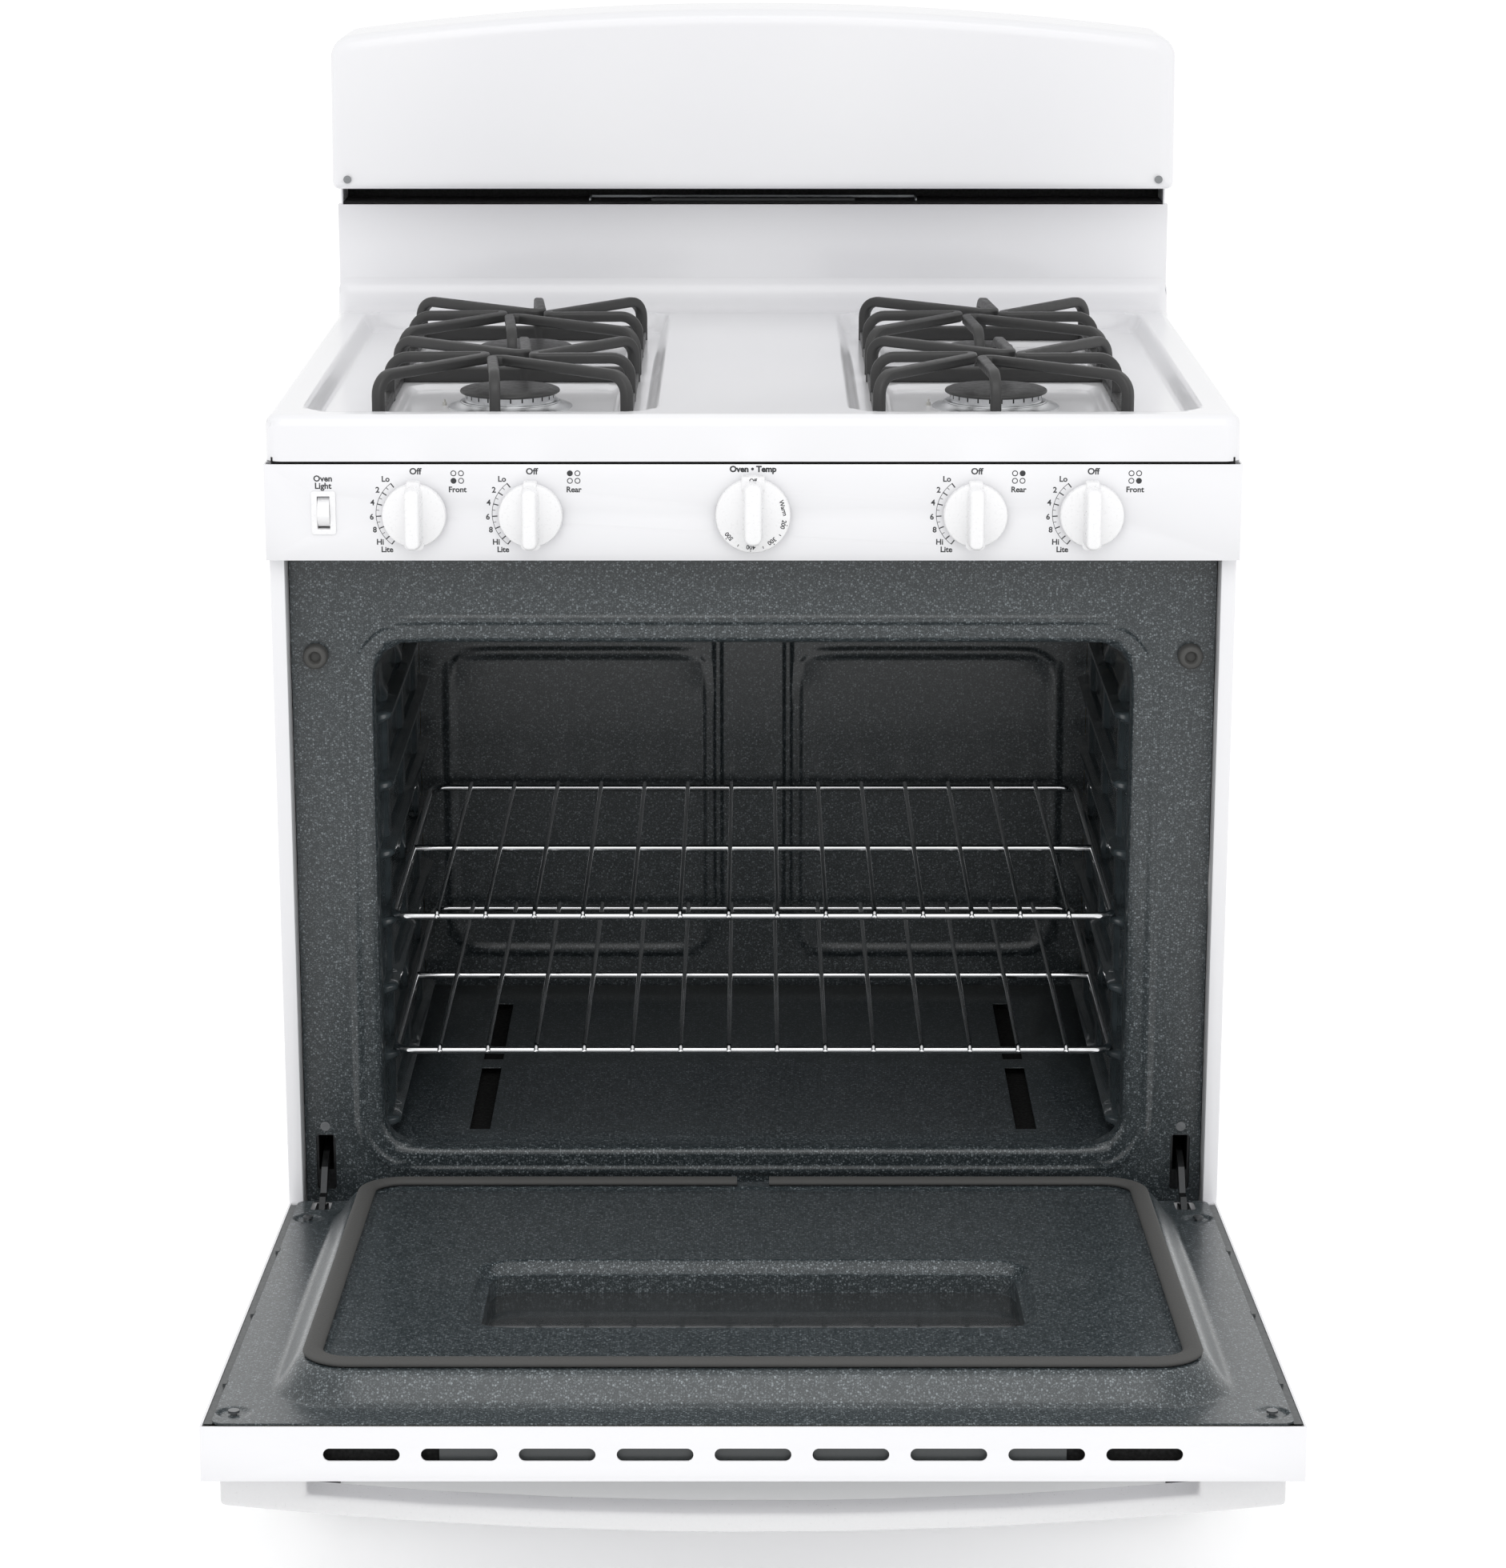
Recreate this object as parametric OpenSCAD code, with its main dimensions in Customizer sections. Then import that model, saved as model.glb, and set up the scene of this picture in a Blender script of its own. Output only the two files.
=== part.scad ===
// Freestanding gas range with its oven door open, built as separate pieces.
// +X is to the right seen from the front, the front faces -Y, +Z is up, the floor is Z = 0.
// Depths called d run backwards from the cooktop's front edge.

/* [Body] */
// Width of the body over its side panels
body_w = 759; // [700:1:800]
// Depth of the body from the cooktop's front edge to the back panel
body_d = 655; // [620:1:700]
// Height of the cooktop's rim above the floor
cooktop_h = 921; // [900:1:950]
// Height of the backguard's arched top above the floor
top_h = 1195; // [1150:1:1230]
// Thickness of the painted sheet steel
sheet = 1.5; // [1:0.1:2]
// Width of the side panels' front return
return_w = 11.5; // [9:0.5:14]

/* [Oven] */
// Inside width of the oven
oven_w = 608; // [560:1:620]
// Height of the oven opening
oven_h = 428; // [400:1:440]
// Height of the oven floor above the room's floor
oven_z = 305; // [300:1:312]
// Depth of the oven behind its front frame
oven_d = 452; // [420:1:460]
// Depth of the front frame behind the cooktop's front edge
frame_d = 38; // [36:1:44]
// Radius of the oven opening's corners
mouth_r = 30; // [20:1:40]

/* [Door] */
// How far the door opens, in degrees
door_open = 85.6; // [80:0.1:90]
// Thickness of the door's outer pan
door_t = 40; // [36:1:46]
// Gap between the closed door's pan and the front frame
door_gap = 30; // [28:1:34]
// Height of the door's raised inner panel
plug_t = 22; // [18:1:24]
// Diameter of the gasket's rope
gasket_w = 12; // [9:1:14]
// Width of the window
window_w = 404; // [300:1:460]
// Height of the window
window_h = 168; // [140:1:220]
// Stand-off of the handle at its ends
handle_end = 27; // [22:1:34]
// Stand-off of the handle at its middle
handle_mid = 47; // [42:1:60]

/* [Cooktop] */
// Distance between the left and right burners
burner_x = 394; // [380:1:410]
// Distance between the front and rear burners
burner_pitch = 238; // [230:1:250]
// Depth of the front burners behind the cooktop's front edge
burner_d = 150; // [144:1:160]
// Depth of the two wells below the rim
well_t = 13; // [10:1:16]
// Height of the grates' tops above the rim
grate_rise = 27; // [22:1:32]
// Width of the grates' bars
grate_bar = 8.6; // [7:0.2:10]
// Diameters of the burner caps: front left, rear left, front right, rear right
cap_dia = [81, 81, 83, 57];

/* [Controls] */
// Distance of the outer burner knobs from the middle
knob_x2 = 263.5; // [250:0.5:275]
// Distance of the inner burner knobs from the middle
knob_x1 = 173; // [160:0.5:185]
// Height of the knobs' middles above the floor
knob_z = 844; // [838:1:850]
// Diameter of a burner knob's skirt
knob_dia = 51; // [44:1:56]
// Diameter of the oven knob's skirt
oven_knob_dia = 61; // [54:1:66]
// Diameter of the valve stems
stem_dia = 8; // [6:0.5:9]
// Distance of the light switch from the middle
switch_x = 334.5; // [325:0.5:345]
// Push that frees a burner knob
knob_push = 3; // [2:0.5:4]

/* [Racks] */
// Width of an oven rack
rack_w = 600; // [550:1:606]
// Depth of an oven rack
rack_depth = 420; // [380:1:426]
// Thickness of a rack's frame wire
rack_wire = 6; // [5:0.5:7]
// Number of wires that run from front to back
rack_wires = 14; // [10:1:18]

/* [Drawer] */
// Height of the drawer front
drawer_h = 168; // [140:1:172]
// Height of the toe space below the drawer
toe_h = 58; // [50:1:62]

/* [Hidden] */
$fn = 64;
door_w = body_w - 2;
pivot_in = 10;
pivot_d = frame_d - door_gap - pivot_in;
pivot_z = oven_z - 42.5;
door_lip = 9;
panel_h = 76;
panel_low = cooktop_h - 36 - 2 - panel_h;
door_len = panel_low - 4 - pivot_z;
// the box around the range with its door open is centred on the origin
front_reach = pivot_d - door_len * sin(door_open) - (door_t - pivot_in) * cos(door_open);
y0 = -(body_d + front_reach) / 2;
shell_z = 40;
// the side panels' front edges lie just behind the closed door
side_d = frame_d - door_gap + 4;
side_in = body_w / 2 - sheet;
frame_x = body_w / 2 - return_w - 0.5;
frame_low = pivot_z - 28;
lip_low = cooktop_h - 36;
oven_top = oven_z + oven_h;
oven_x = oven_w / 2;
oven_back = frame_d + oven_d;
wall = 1.2;
deck_z = cooktop_h - well_t;
burner_z = deck_z - 4;
grate_z = cooktop_h + grate_rise;
grate_leg_x = 102 - grate_bar / 2;
grate_leg_y = 104 - grate_bar / 2;
cap_t = 5;
cap_z = deck_z + 7.5;
stem_fit = 0.05;
plug_dia = 14;
rest_gap = 0.3;
knob_gap = 1.2;
knob_rear = -sheet - knob_gap - knob_push;
// the valve stems end this far inside the knobs
stem_front = knob_rear - 8.3;
switch_tilt = 12;
switch_pin_d = 4;
splash_d = 600;
splash_top = cooktop_h + 95;
guard_low = cooktop_h + 115;
guard_w = body_w - 4;
guard_in = guard_w / 2 - sheet;
guard_crown = 25;
guard_d = splash_d - 60;
guard_lean = 6;
rack_levels = [oven_z + 79, oven_z + 194];
ladder_z = [for (i = [0:6]) oven_z + 79 + (i - 1) * 57.5];
drawer_top = toe_h + drawer_h;
drawer_x = 322;
drawer_back = 560;
duct_w = 300;
pipe_dia = 21.3;
saddle_z = knob_z - pipe_dia / 2 - rest_gap;
hinge_x = frame_x - 16.5;
bumper_x = frame_x - 19.5;
screw_x = door_w / 2 - 20.5;
// height of the window's middle above the hinge line
window_mid = 304;
claw_t = 5;
pin_dia = 6;
inlet_r = 9.3;
inlet_len = 19;
inlet_x = 330;
inlet_z = 360;

enamel_white = [0.95, 0.95, 0.96];
speckled = [0.2, 0.23, 0.25];
black_iron = [0.17, 0.17, 0.17];
steel = [0.65, 0.66, 0.68];

knob_xs = [-knob_x2, -knob_x1, knob_x1, knob_x2];
burner_at = [
  [-burner_x / 2, burner_d],
  [-burner_x / 2, burner_d + burner_pitch],
  [burner_x / 2, burner_d],
  [burner_x / 2, burner_d + burner_pitch]
];

// ---- helpers ----

// everything inside is placed by its depth behind the cooktop's front edge
module body() {
  translate([0, y0, 0]) children();
}

// everything inside is placed as on the closed door, from the hinge line:
// +Z up the door, +Y towards the oven
module door() {
  translate([0, y0 + pivot_d, pivot_z]) rotate([door_open, 0, 0]) children();
}

// a box from one corner to the other
module box(a, b) {
  translate(a) cube([for (i = [0:2]) b[i] - a[i]]);
}

// a rectangle about the middle with round corners, built from true arcs
module rounded(w, h, r) {
  square([w - 2 * r, h], center = true);
  square([w, h - 2 * r], center = true);
  for (x = [-1, 1], y = [-1, 1])
    translate([x * (w / 2 - r), y * (h / 2 - r)]) circle(r = r);
}

// a rounded rectangle that stands across the range, t thick towards the back
module upright(w, h, r, t) {
  translate([0, t, 0]) rotate([90, 0, 0]) linear_extrude(t) rounded(w, h, r);
}

// a rod from a to b along one axis
module rod(p, len, dia, axis) {
  turn = axis == "x" ? [0, 90, 0] : axis == "y" ? [-90, 0, 0] : [0, 0, 0];
  translate(p) rotate(turn) cylinder(h = len, d = dia);
}

// both sides: the part as drawn and its mirror image
module both_sides() {
  children();
  mirror([1, 0, 0]) children();
}

// ---- body shell ----

module side_panel() {
  body() difference() {
    box([side_in, side_d, shell_z], [body_w / 2, body_d, lip_low]);
    box([side_in - 1, side_d - 1, shell_z - 1], [body_w / 2 + 1, side_d + 30, toe_h]);
  }
  body() box([side_in - return_w + sheet, side_d, toe_h], [side_in, side_d + sheet, lip_low]);
  body() box([side_in - return_w + sheet, side_d + sheet, toe_h],
             [side_in - return_w + 2 * sheet, frame_d, lip_low]);
  body() box([side_in - 14, body_d - sheet, shell_z], [side_in, body_d, lip_low]);
}

module side_panel_right() {
  color(enamel_white) side_panel();
}

module side_panel_left() {
  color(enamel_white) mirror([1, 0, 0]) side_panel();
}

module back_panel() {
  color(steel) body() difference() {
    union() {
      box([-side_in + 1, body_d - 2 * sheet - rest_gap, shell_z + 20],
          [side_in - 1, body_d - sheet - rest_gap, splash_top]);
      box([-guard_in + rest_gap, body_d - 2 * sheet - rest_gap, splash_top - 1],
          [guard_in - rest_gap, body_d - sheet - rest_gap, top_h - guard_crown - 24]);
    }
    for (i = [-4:4])
      translate([i * 50, body_d - 4 * sheet, oven_z + 460]) rotate([-90, 0, 0])
        linear_extrude(6 * sheet) rounded(36, 8, 3.9);
    // way in for the gas supply
    rod([inlet_x, body_d - 4 * sheet, inlet_z], 6 * sheet, 60, "y");
  }
}

module base_frame() {
  color(steel) body() difference() {
    box([-side_in + 0.3, 34, shell_z], [side_in - 0.3, body_d - 4, shell_z + 16]);
    box([-side_in + 30, 62, shell_z + 2], [side_in - 30, body_d - 34, shell_z + 17]);
    box([-side_in + 60, 90, shell_z - 1], [side_in - 60, body_d - 60, shell_z + 3]);
    for (x = [-1, 1], d = [50, body_d - 20])
      translate([x * (side_in - 15), d, shell_z - 1]) cylinder(h = 20, d = 10.1);
  }
}

module leveling_feet() {
  color(black_iron) body() for (x = [-1, 1], d = [50, body_d - 20])
    translate([x * (side_in - 15), d, 0]) {
      cylinder(h = 12, d = 30);
      cylinder(h = 30, d = 20, $fn = 6);
      cylinder(h = shell_z + 14, d = 10);
    }
}

// ---- oven box ----

module front_frame() {
  mid_z = (oven_z + oven_top) / 2;
  color(speckled) body() {
    difference() {
      union() {
        box([-frame_x, frame_d, frame_low], [frame_x, frame_d + sheet, panel_low + 6]);
        translate([0, frame_d, mid_z]) upright(oven_w, oven_h, mouth_r, 14);
        box([-frame_x, frame_d + sheet, frame_low], [frame_x, frame_d + 16, frame_low + sheet]);
        // two saddles that carry the gas manifold
        for (x = [-218, 218]) {
          box([x - 10, frame_d, panel_low], [x + 10, frame_d + sheet, saddle_z]);
          box([x - 10, frame_d, saddle_z - sheet], [x + 10, 60 + 6, saddle_z]);
        }
      }
      translate([0, frame_d - 1, mid_z])
        upright(oven_w - 2 * sheet, oven_h - 2 * sheet, mouth_r - sheet, 20);
      for (x = [-1, 1]) {
        box([x * hinge_x - 8, frame_d - 1, pivot_z + 8], [x * hinge_x + 8, frame_d + 3, pivot_z + 56]);
        rod([x * hinge_x, frame_d - 1, oven_z + 21], 5, 4.4, "y");
        rod([x * bumper_x, frame_d - 1, oven_top - 11], 5, 8, "y");
      }
    }
  }
}

module liner_side() {
  body() {
    box([oven_x + rest_gap, frame_d + 2, oven_z - 45], [oven_x + rest_gap + wall, oven_back, oven_top]);
    // embossed ladder that carries the racks
    for (z = ladder_z)
      box([oven_x - 12, frame_d + 24, z - rack_wire / 2 - 9 - rest_gap],
          [oven_x + rest_gap, oven_back - 24, z - rack_wire / 2 - rest_gap]);
    for (d = [frame_d + 70, frame_d + 210, frame_d + 350])
      box([oven_x - 5, d, ladder_z[0] - 20], [oven_x + rest_gap, d + 26, ladder_z[6] + 8]);
  }
}

module oven_liner_sides() {
  color(speckled) both_sides() liner_side();
}

module oven_liner_top() {
  color(speckled) body() difference() {
    box([-oven_x - wall, frame_d + 2, oven_top + 0.2], [oven_x + wall, oven_back, oven_top + 0.2 + wall]);
    box([-110, oven_back - 60, oven_top - 1], [110, oven_back - 20, oven_top + 3]);
  }
}

module oven_liner_back() {
  color(speckled) body() {
    difference() {
      box([-oven_x - wall, oven_back + 0.2, oven_z - 45.2 - wall],
          [oven_x + wall, oven_back + 0.2 + wall, oven_top + 0.2 + wall]);
      rod([oven_x - 60, oven_back - 2, oven_top - 50], 6, 42, "y");
    }
    // floor of the burner's chamber
    box([-oven_x - wall, frame_d + 2, oven_z - 45.2 - wall], [oven_x + wall, oven_back + 1, oven_z - 45.2]);
    // two upright ribs and the frames of two raised fields
    for (x = [-1, 1]) {
      box([x * 32 - 3, oven_back - 4, oven_z + 30], [x * 32 + 3, oven_back + 0.3, oven_top - 6]);
      box([x * 40 - (x < 0 ? 230 : 0), oven_back - 3, oven_z + 33],
          [x * 40 + (x > 0 ? 230 : 0), oven_back + 0.3, oven_z + 38]);
    }
  }
}

module oven_bottom() {
  slot_w = 17;
  color(speckled) body() difference() {
    union() {
      box([-oven_x + 1, frame_d + 17, oven_z - wall], [oven_x - 1, oven_back - 0.5, oven_z]);
      box([-oven_x + 1, frame_d + 17, oven_z - 8], [oven_x - 1, frame_d + 19, oven_z]);
    }
    for (x = [-1, 1], s = [[52, 160], [235, 160]])
      box([x * 228 - slot_w / 2, frame_d + s[0], oven_z - 3],
          [x * 228 + slot_w / 2, frame_d + s[0] + s[1], oven_z + 1]);
  }
}

module oven_burner() {
  z = oven_z - 28.5;
  color(steel) body() {
    rod([0, frame_d + 60, z], oven_d - 60, 32, "y");
    for (x = [-1, 1])
      box([x > 0 ? 12 : -60, oven_back - 60, z - 8], [x > 0 ? 60 : -12, oven_back - 30, z + 8]);
  }
}

module flame_spreader() {
  color(steel) body() difference() {
    union() {
      box([-80, frame_d + 50, oven_z - 12], [80, oven_back - 40, oven_z - 10.8]);
      for (x = [-1, 1])
        box([x * 76 - 3, frame_d + 80, oven_z - 45], [x * 76 + 3, oven_back - 80, oven_z - 11]);
    }
    for (d = [frame_d + 120, frame_d + 300])
      translate([0, d, oven_z - 14]) cylinder(h = 6, d = 14);
  }
}

module oven_insulation() {
  out_x = oven_x + 34;
  color([0.85, 0.8, 0.6]) body() {
    difference() {
      box([-out_x, frame_d + 18, oven_z - 40], [out_x, oven_back - 1, oven_top + 42]);
      box([-oven_x - 2, frame_d, oven_z - 60], [oven_x + 2, oven_back + 10, oven_top + 2]);
      box([-112, oven_back - 62, oven_top], [112, oven_back + 1, oven_top + 60]);
    }
    difference() {
      box([-out_x, oven_back + 2, oven_z - 40], [out_x, oven_back + 42, oven_top + 42]);
      rod([oven_x - 60, oven_back - 2, oven_top - 50], 60, 46, "y");
      box([-112, oven_back + 1, oven_top], [112, oven_back + 50, oven_top + 60]);
    }
  }
}

// ---- cooktop ----

// plan outline of one well, left or right
module well_plan(side) {
  inner = 76;
  outer = body_w / 2 - 28;
  translate([side * (inner + outer) / 2, 0]) {
    front = 22;
    back = splash_d - 28;
    translate([0, (front + back) / 2]) rounded(outer - inner, back - front, 30);
  }
}

module cooktop() {
  color(enamel_white) body() difference() {
    union() {
      box([-body_w / 2, 0, lip_low], [body_w / 2, splash_d, cooktop_h]);
      // cove that climbs to the splash panel
      translate([-body_w / 2, splash_d - 28, cooktop_h]) difference() {
        cube([body_w, 28, 28]);
        translate([-1, 0, 28]) rod([0, 0, 0], body_w + 2, 56, "x");
      }
    }
    // hollow underneath
    difference() {
      box([-body_w / 2 + sheet, sheet, lip_low - 1],
          [body_w / 2 - sheet, splash_d - sheet, cooktop_h - sheet]);
      for (s = [-1, 1])
        translate([0, 0, deck_z - sheet]) linear_extrude(40) well_plan(s);
      for (b = burner_at)
        translate([b[0], b[1], burner_z - sheet]) linear_extrude(10) rounded(182, 182, 26);
    }
    // wells and burner recesses seen from above
    for (s = [-1, 1])
      translate([0, 0, deck_z]) linear_extrude(40) intersection() {
        well_plan(s);
        translate([s * (76 + body_w / 2 - 28) / 2, 300])
          rounded(body_w / 2 - 104 - 2 * sheet, splash_d - 50 - 2 * sheet, 28);
      }
    for (i = [0:3])
      translate([burner_at[i][0], burner_at[i][1], burner_z]) {
        linear_extrude(20) rounded(178, 178, 24);
        translate([0, 0, -10]) cylinder(h = 20, d = cap_dia[i] - 24);
      }
  }
}

module splash_panel() {
  color(enamel_white) body() {
    box([-body_w / 2 + 1, splash_d + 0.2, cooktop_h - 20], [body_w / 2 - 1, splash_d + 0.2 + sheet, splash_top]);
    box([-body_w / 2 + 1, splash_d + sheet, splash_top - sheet],
        [body_w / 2 - 1, splash_d + 12, splash_top]);
    // end plates that close the sides and carry the backguard
    for (s = [-1, 1]) {
      x = s * (guard_in - rest_gap - sheet / 2);
      box([x - sheet / 2, splash_d + sheet, lip_low - 10],
          [x + sheet / 2, body_d - 2 * sheet - 2 * rest_gap, guard_low + 40]);
    }
  }
}

// front outline of the backguard: flat at the foot, a low arch on top
module guard_outline() {
  h = top_h - guard_low;
  half = guard_w / 2;
  r = (half * half + guard_crown * guard_crown) / (2 * guard_crown);
  intersection() {
    translate([-half, 0]) square([guard_w, h]);
    translate([0, h - r]) circle(r = r, $fn = 400);
  }
}

module guard_body(front, back) {
  translate([0, front, guard_low]) rotate([-guard_lean, 0, 0])
    translate([0, back - front, 0]) rotate([90, 0, 0]) linear_extrude(back - front) guard_outline();
}

module backguard() {
  color(enamel_white) body() difference() {
    intersection() {
      guard_body(guard_d, body_d + 40);
      box([-body_w, guard_d - 40, guard_low - 1], [body_w, body_d, top_h + 1]);
    }
    translate([0, 0, -sheet]) intersection() {
      guard_body(guard_d + sheet, body_d + 60);
      box([-guard_in, 0, guard_low - 10], [guard_in, body_d + 60, top_h - 5]);
    }
  }
}

module vent_duct() {
  low = oven_top + 46;
  color(steel) body() {
    difference() {
      box([-duct_w / 2, oven_back + 44, low], [duct_w / 2, body_d - 12, splash_top + 4]);
      box([-duct_w / 2 + sheet, oven_back + 44 + sheet, low - 1],
          [duct_w / 2 - sheet, body_d - 12 - sheet, splash_top + 5]);
      box([-body_w / 2, oven_back + 40, cooktop_h - 60], [body_w / 2, splash_d + 14, splash_top + 6]);
      // mouth towards the oven's flue
      box([-108, oven_back + 40, low - 1], [108, oven_back + 50, low + 40]);
    }
    // short flue from the oven's roof
    difference() {
      box([-110, oven_back - 60, oven_top + 2], [110, oven_back + 43.8, low + 40]);
      box([-108.5, oven_back - 58.5, oven_top + 1], [108.5, oven_back + 45, low + 38.5]);
    }
  }
}

// ---- controls ----

module control_panel() {
  color(enamel_white) body() difference() {
    union() {
      box([-body_w / 2 - 1, -sheet, panel_low], [body_w / 2 + 1, -rest_gap + 0.1, panel_low + panel_h]);
      for (s = [-1, 1])
        box([s * (body_w / 2 + 1 - sheet / 2) - sheet / 2, -sheet, panel_low],
            [s * (body_w / 2 + 1 - sheet / 2) + sheet / 2, side_d - rest_gap, panel_low + panel_h]);
      box([-body_w / 2, -sheet, panel_low], [body_w / 2, side_d - rest_gap, panel_low + sheet]);
    }
    for (x = knob_xs)
      rod([x, -5, knob_z], 10, stem_dia + 3, "y");
    rod([0, -5, knob_z], 10, stem_dia + 3, "y");
    translate([-switch_x, -3, knob_z + 1]) upright(16, 31, 2, 6);
  }
}

module manifold_pipe() {
  color(steel) body() difference() {
    union() {
      rod([-320, 60, knob_z], 320 + inlet_x, pipe_dia, "x");
      translate([inlet_x, 60, knob_z]) sphere(d = pipe_dia);
      rod([inlet_x, 60, knob_z], body_d - 110, pipe_dia, "y");
      translate([inlet_x, body_d - 50, knob_z]) sphere(d = pipe_dia);
      rod([inlet_x, body_d - 50, inlet_z + 40], knob_z - inlet_z - 40, pipe_dia, "z");
    }
    rod([-300, 60, knob_z], 600, pipe_dia - 6, "x");
  }
}

module valve_body(w, h) {
  difference() {
    box([-w / 2, 20, -h / 2], [w / 2, 60 - pipe_dia / 2 - 0.1, h / 2]);
    rod([0, 19, 0], 24, plug_dia + 2 * stem_fit, "y");
  }
}

module burner_valves() {
  color([0.75, 0.65, 0.4]) body() for (x = knob_xs)
    translate([x, 0, knob_z]) valve_body(22, 26);
}

module oven_thermostat() {
  color(steel) body() translate([0, 0, knob_z]) valve_body(44, 50);
}

module gas_regulator() {
  color([0.6, 0.6, 0.62]) body() difference() {
    union() {
      translate([inlet_x, body_d - 50, inlet_z - 12]) cylinder(h = 52, d = 34);
      rod([inlet_x - 28, body_d - 50, inlet_z + 10], 30, 46, "x");
      translate([inlet_x, body_d - 50, inlet_z]) rotate([-90, 0, 0]) cylinder(h = 36, d = 30, $fn = 6);
    }
    rod([inlet_x, body_d - 14 - inlet_len, inlet_z], inlet_len + 1, 2 * inlet_r, "y");
    translate([inlet_x, body_d - 50, inlet_z + 39.9]) cylinder(h = 1, d = pipe_dia + 0.2);
  }
}

// a valve's turning plug and the stem that carries its knob through the panel
module valve_plug(x) {
  color([0.8, 0.7, 0.45]) body() translate([x, 0, knob_z]) {
    rod([0, 20.5, 0], 20, plug_dia, "y");
    rod([0, stem_front, 0], 21 - stem_front, stem_dia, "y");
  }
}

// a knob: a round skirt and a bar to grip, with a bore that slides on the valve's stem
module knob(x, dia, len, grip) {
  rear = knob_rear;
  color(enamel_white) body() translate([x, 0, knob_z]) difference() {
    union() {
      rod([0, rear - 4, 0], 4, dia, "y");
      rod([0, rear - 7, 0], 3.2, dia - 5, "y");
      intersection() {
        rod([0, rear - len, 0], len - 6, dia - 1, "y");
        box([-grip / 2, rear - len, -dia / 2], [grip / 2, rear - 5, dia / 2]);
      }
    }
    rod([0, stem_front - knob_push - rest_gap, 0], 30, stem_dia + 2 * stem_fit, "y");
  }
}

module switch_housing() {
  color([0.9, 0.9, 0.9]) body() translate([-switch_x, 0, knob_z + 1]) difference() {
    union() {
      translate([0, -sheet - 1.2, 0]) upright(19, 34, 2, 1.1);
      translate([0, -sheet - 0.2, 0]) upright(15, 30, 1.5, 22);
    }
    translate([0, -sheet - 3, 0]) upright(10, 26, 0.5, 22);
  }
}

// the rocker, on its pin in the middle of the housing
module light_switch() {
  color(enamel_white) body() translate([-switch_x, switch_pin_d, knob_z + 1])
    rotate([-switch_tilt / 2, 0, 0]) intersection() {
      box([-4.7, -9, -11.3], [4.7, 6, 11.3]);
      rod([-4.7, 3, 0], 9.4, 25, "x");
    }
}

// ---- burners and grates ----

module burner_heads() {
  color([0.75, 0.76, 0.77]) body() for (i = [0:3])
    translate([burner_at[i][0], burner_at[i][1], 0]) difference() {
      union() {
        translate([0, 0, burner_z + 0.1]) cylinder(h = 4, d1 = cap_dia[i] + 20, d2 = cap_dia[i] + 4);
        translate([0, 0, burner_z + 4]) cylinder(h = cap_z - burner_z - 4, d = cap_dia[i] - 9);
        translate([0, 0, burner_z - 26]) cylinder(h = 28, d = cap_dia[i] - 26);
      }
      translate([0, 0, burner_z - 20]) cylinder(h = 60, d = cap_dia[i] - 36);
      // gas ports around the rim
      for (a = [0:15:345])
        rotate(a) translate([cap_dia[i] / 2 - 20, -0.8, cap_z - 5]) cube([20, 1.6, 6]);
    }
}

module burner_caps() {
  color(black_iron) body() for (i = [0:3])
    translate([burner_at[i][0], burner_at[i][1], cap_z + 0.1]) {
      translate([0, 0, 0]) cylinder(h = 3, d = cap_dia[i]);
      cylinder(h = cap_t, d = cap_dia[i] - 8);
      translate([0, 0, -6]) cylinder(h = 7, d = cap_dia[i] - 40);
    }
}

module burner_tubes() {
  color([0.75, 0.76, 0.77]) body() for (i = [0:3])
    translate([burner_at[i][0], burner_at[i][1], burner_z - 36]) {
      cylinder(h = 9.9, d = cap_dia[i] - 26);
      translate([(i % 2 == 0 ? -8 : 8) - 8, -burner_at[i][1] + 76, 0])
        cube([16, burner_at[i][1] - 76, 9.9]);
    }
}

module spark_electrodes() {
  color([0.95, 0.95, 0.92]) body() for (i = [0:3])
    translate([burner_at[i][0] - (cap_dia[i] / 2 + 13), burner_at[i][1] + 4, burner_z + 0.1]) {
      cylinder(h = 9, d = 5);
      cylinder(h = 12, d = 2.4);
    }
}

module spark_module() {
  color([0.3, 0.3, 0.32]) body()
    box([-90, body_d - 46, 470], [-10, body_d - 2 * sheet - 0.4, 520]);
}

// plan of one finger of a grate: leg, rounded tip near the middle, next leg
module finger_plan(points, w) {
  for (i = [0, 1]) {
    run = points[i + 1] - points[i];
    translate(points[i]) rotate(atan2(run[1], run[0])) translate([0, -w / 2]) square([norm(run), w]);
  }
  translate(points[1]) circle(d = w + 0.2);
  for (i = [0, 2])
    translate(points[i]) square(w + 0.2, center = true);
}

module grate(i) {
  w = grate_bar;
  x = grate_leg_x;
  y = grate_leg_y;
  foot = deck_z + rest_gap;
  // the four fingers turn round the burner, opposite ones alike
  fingers = [
    [[-x, y], [8, 16], [6, y]],
    [[-x, 2], [-20, 0], [-x, -y]],
    [[x, y], [20, 0], [x, -2]],
    [[-6, -y], [-8, -16], [x, -y]]
  ];
  color(black_iron) body() translate([burner_at[i][0], burner_at[i][1], 0]) {
    for (f = fingers) {
      translate([0, 0, grate_z - w]) linear_extrude(w) finger_plan(f, w);
      for (p = [f[0], f[2]])
        box([p[0] - w / 2, p[1] - w / 2, foot], [p[0] + w / 2, p[1] + w / 2, grate_z - w / 2]);
    }
    // low frame on the well's floor, lowest in front
    for (s = [-1, 1]) {
      box([-x, s * y - w / 2 + 0.3, foot], [x, s * y + w / 2 - 0.3, foot + (s < 0 ? 4 : 12.5)]);
      box([s * x - w / 2 + 0.3, -y, foot], [s * x + w / 2 - 0.3, y, foot + 8]);
    }
  }
}

// ---- small fittings ----

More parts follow.
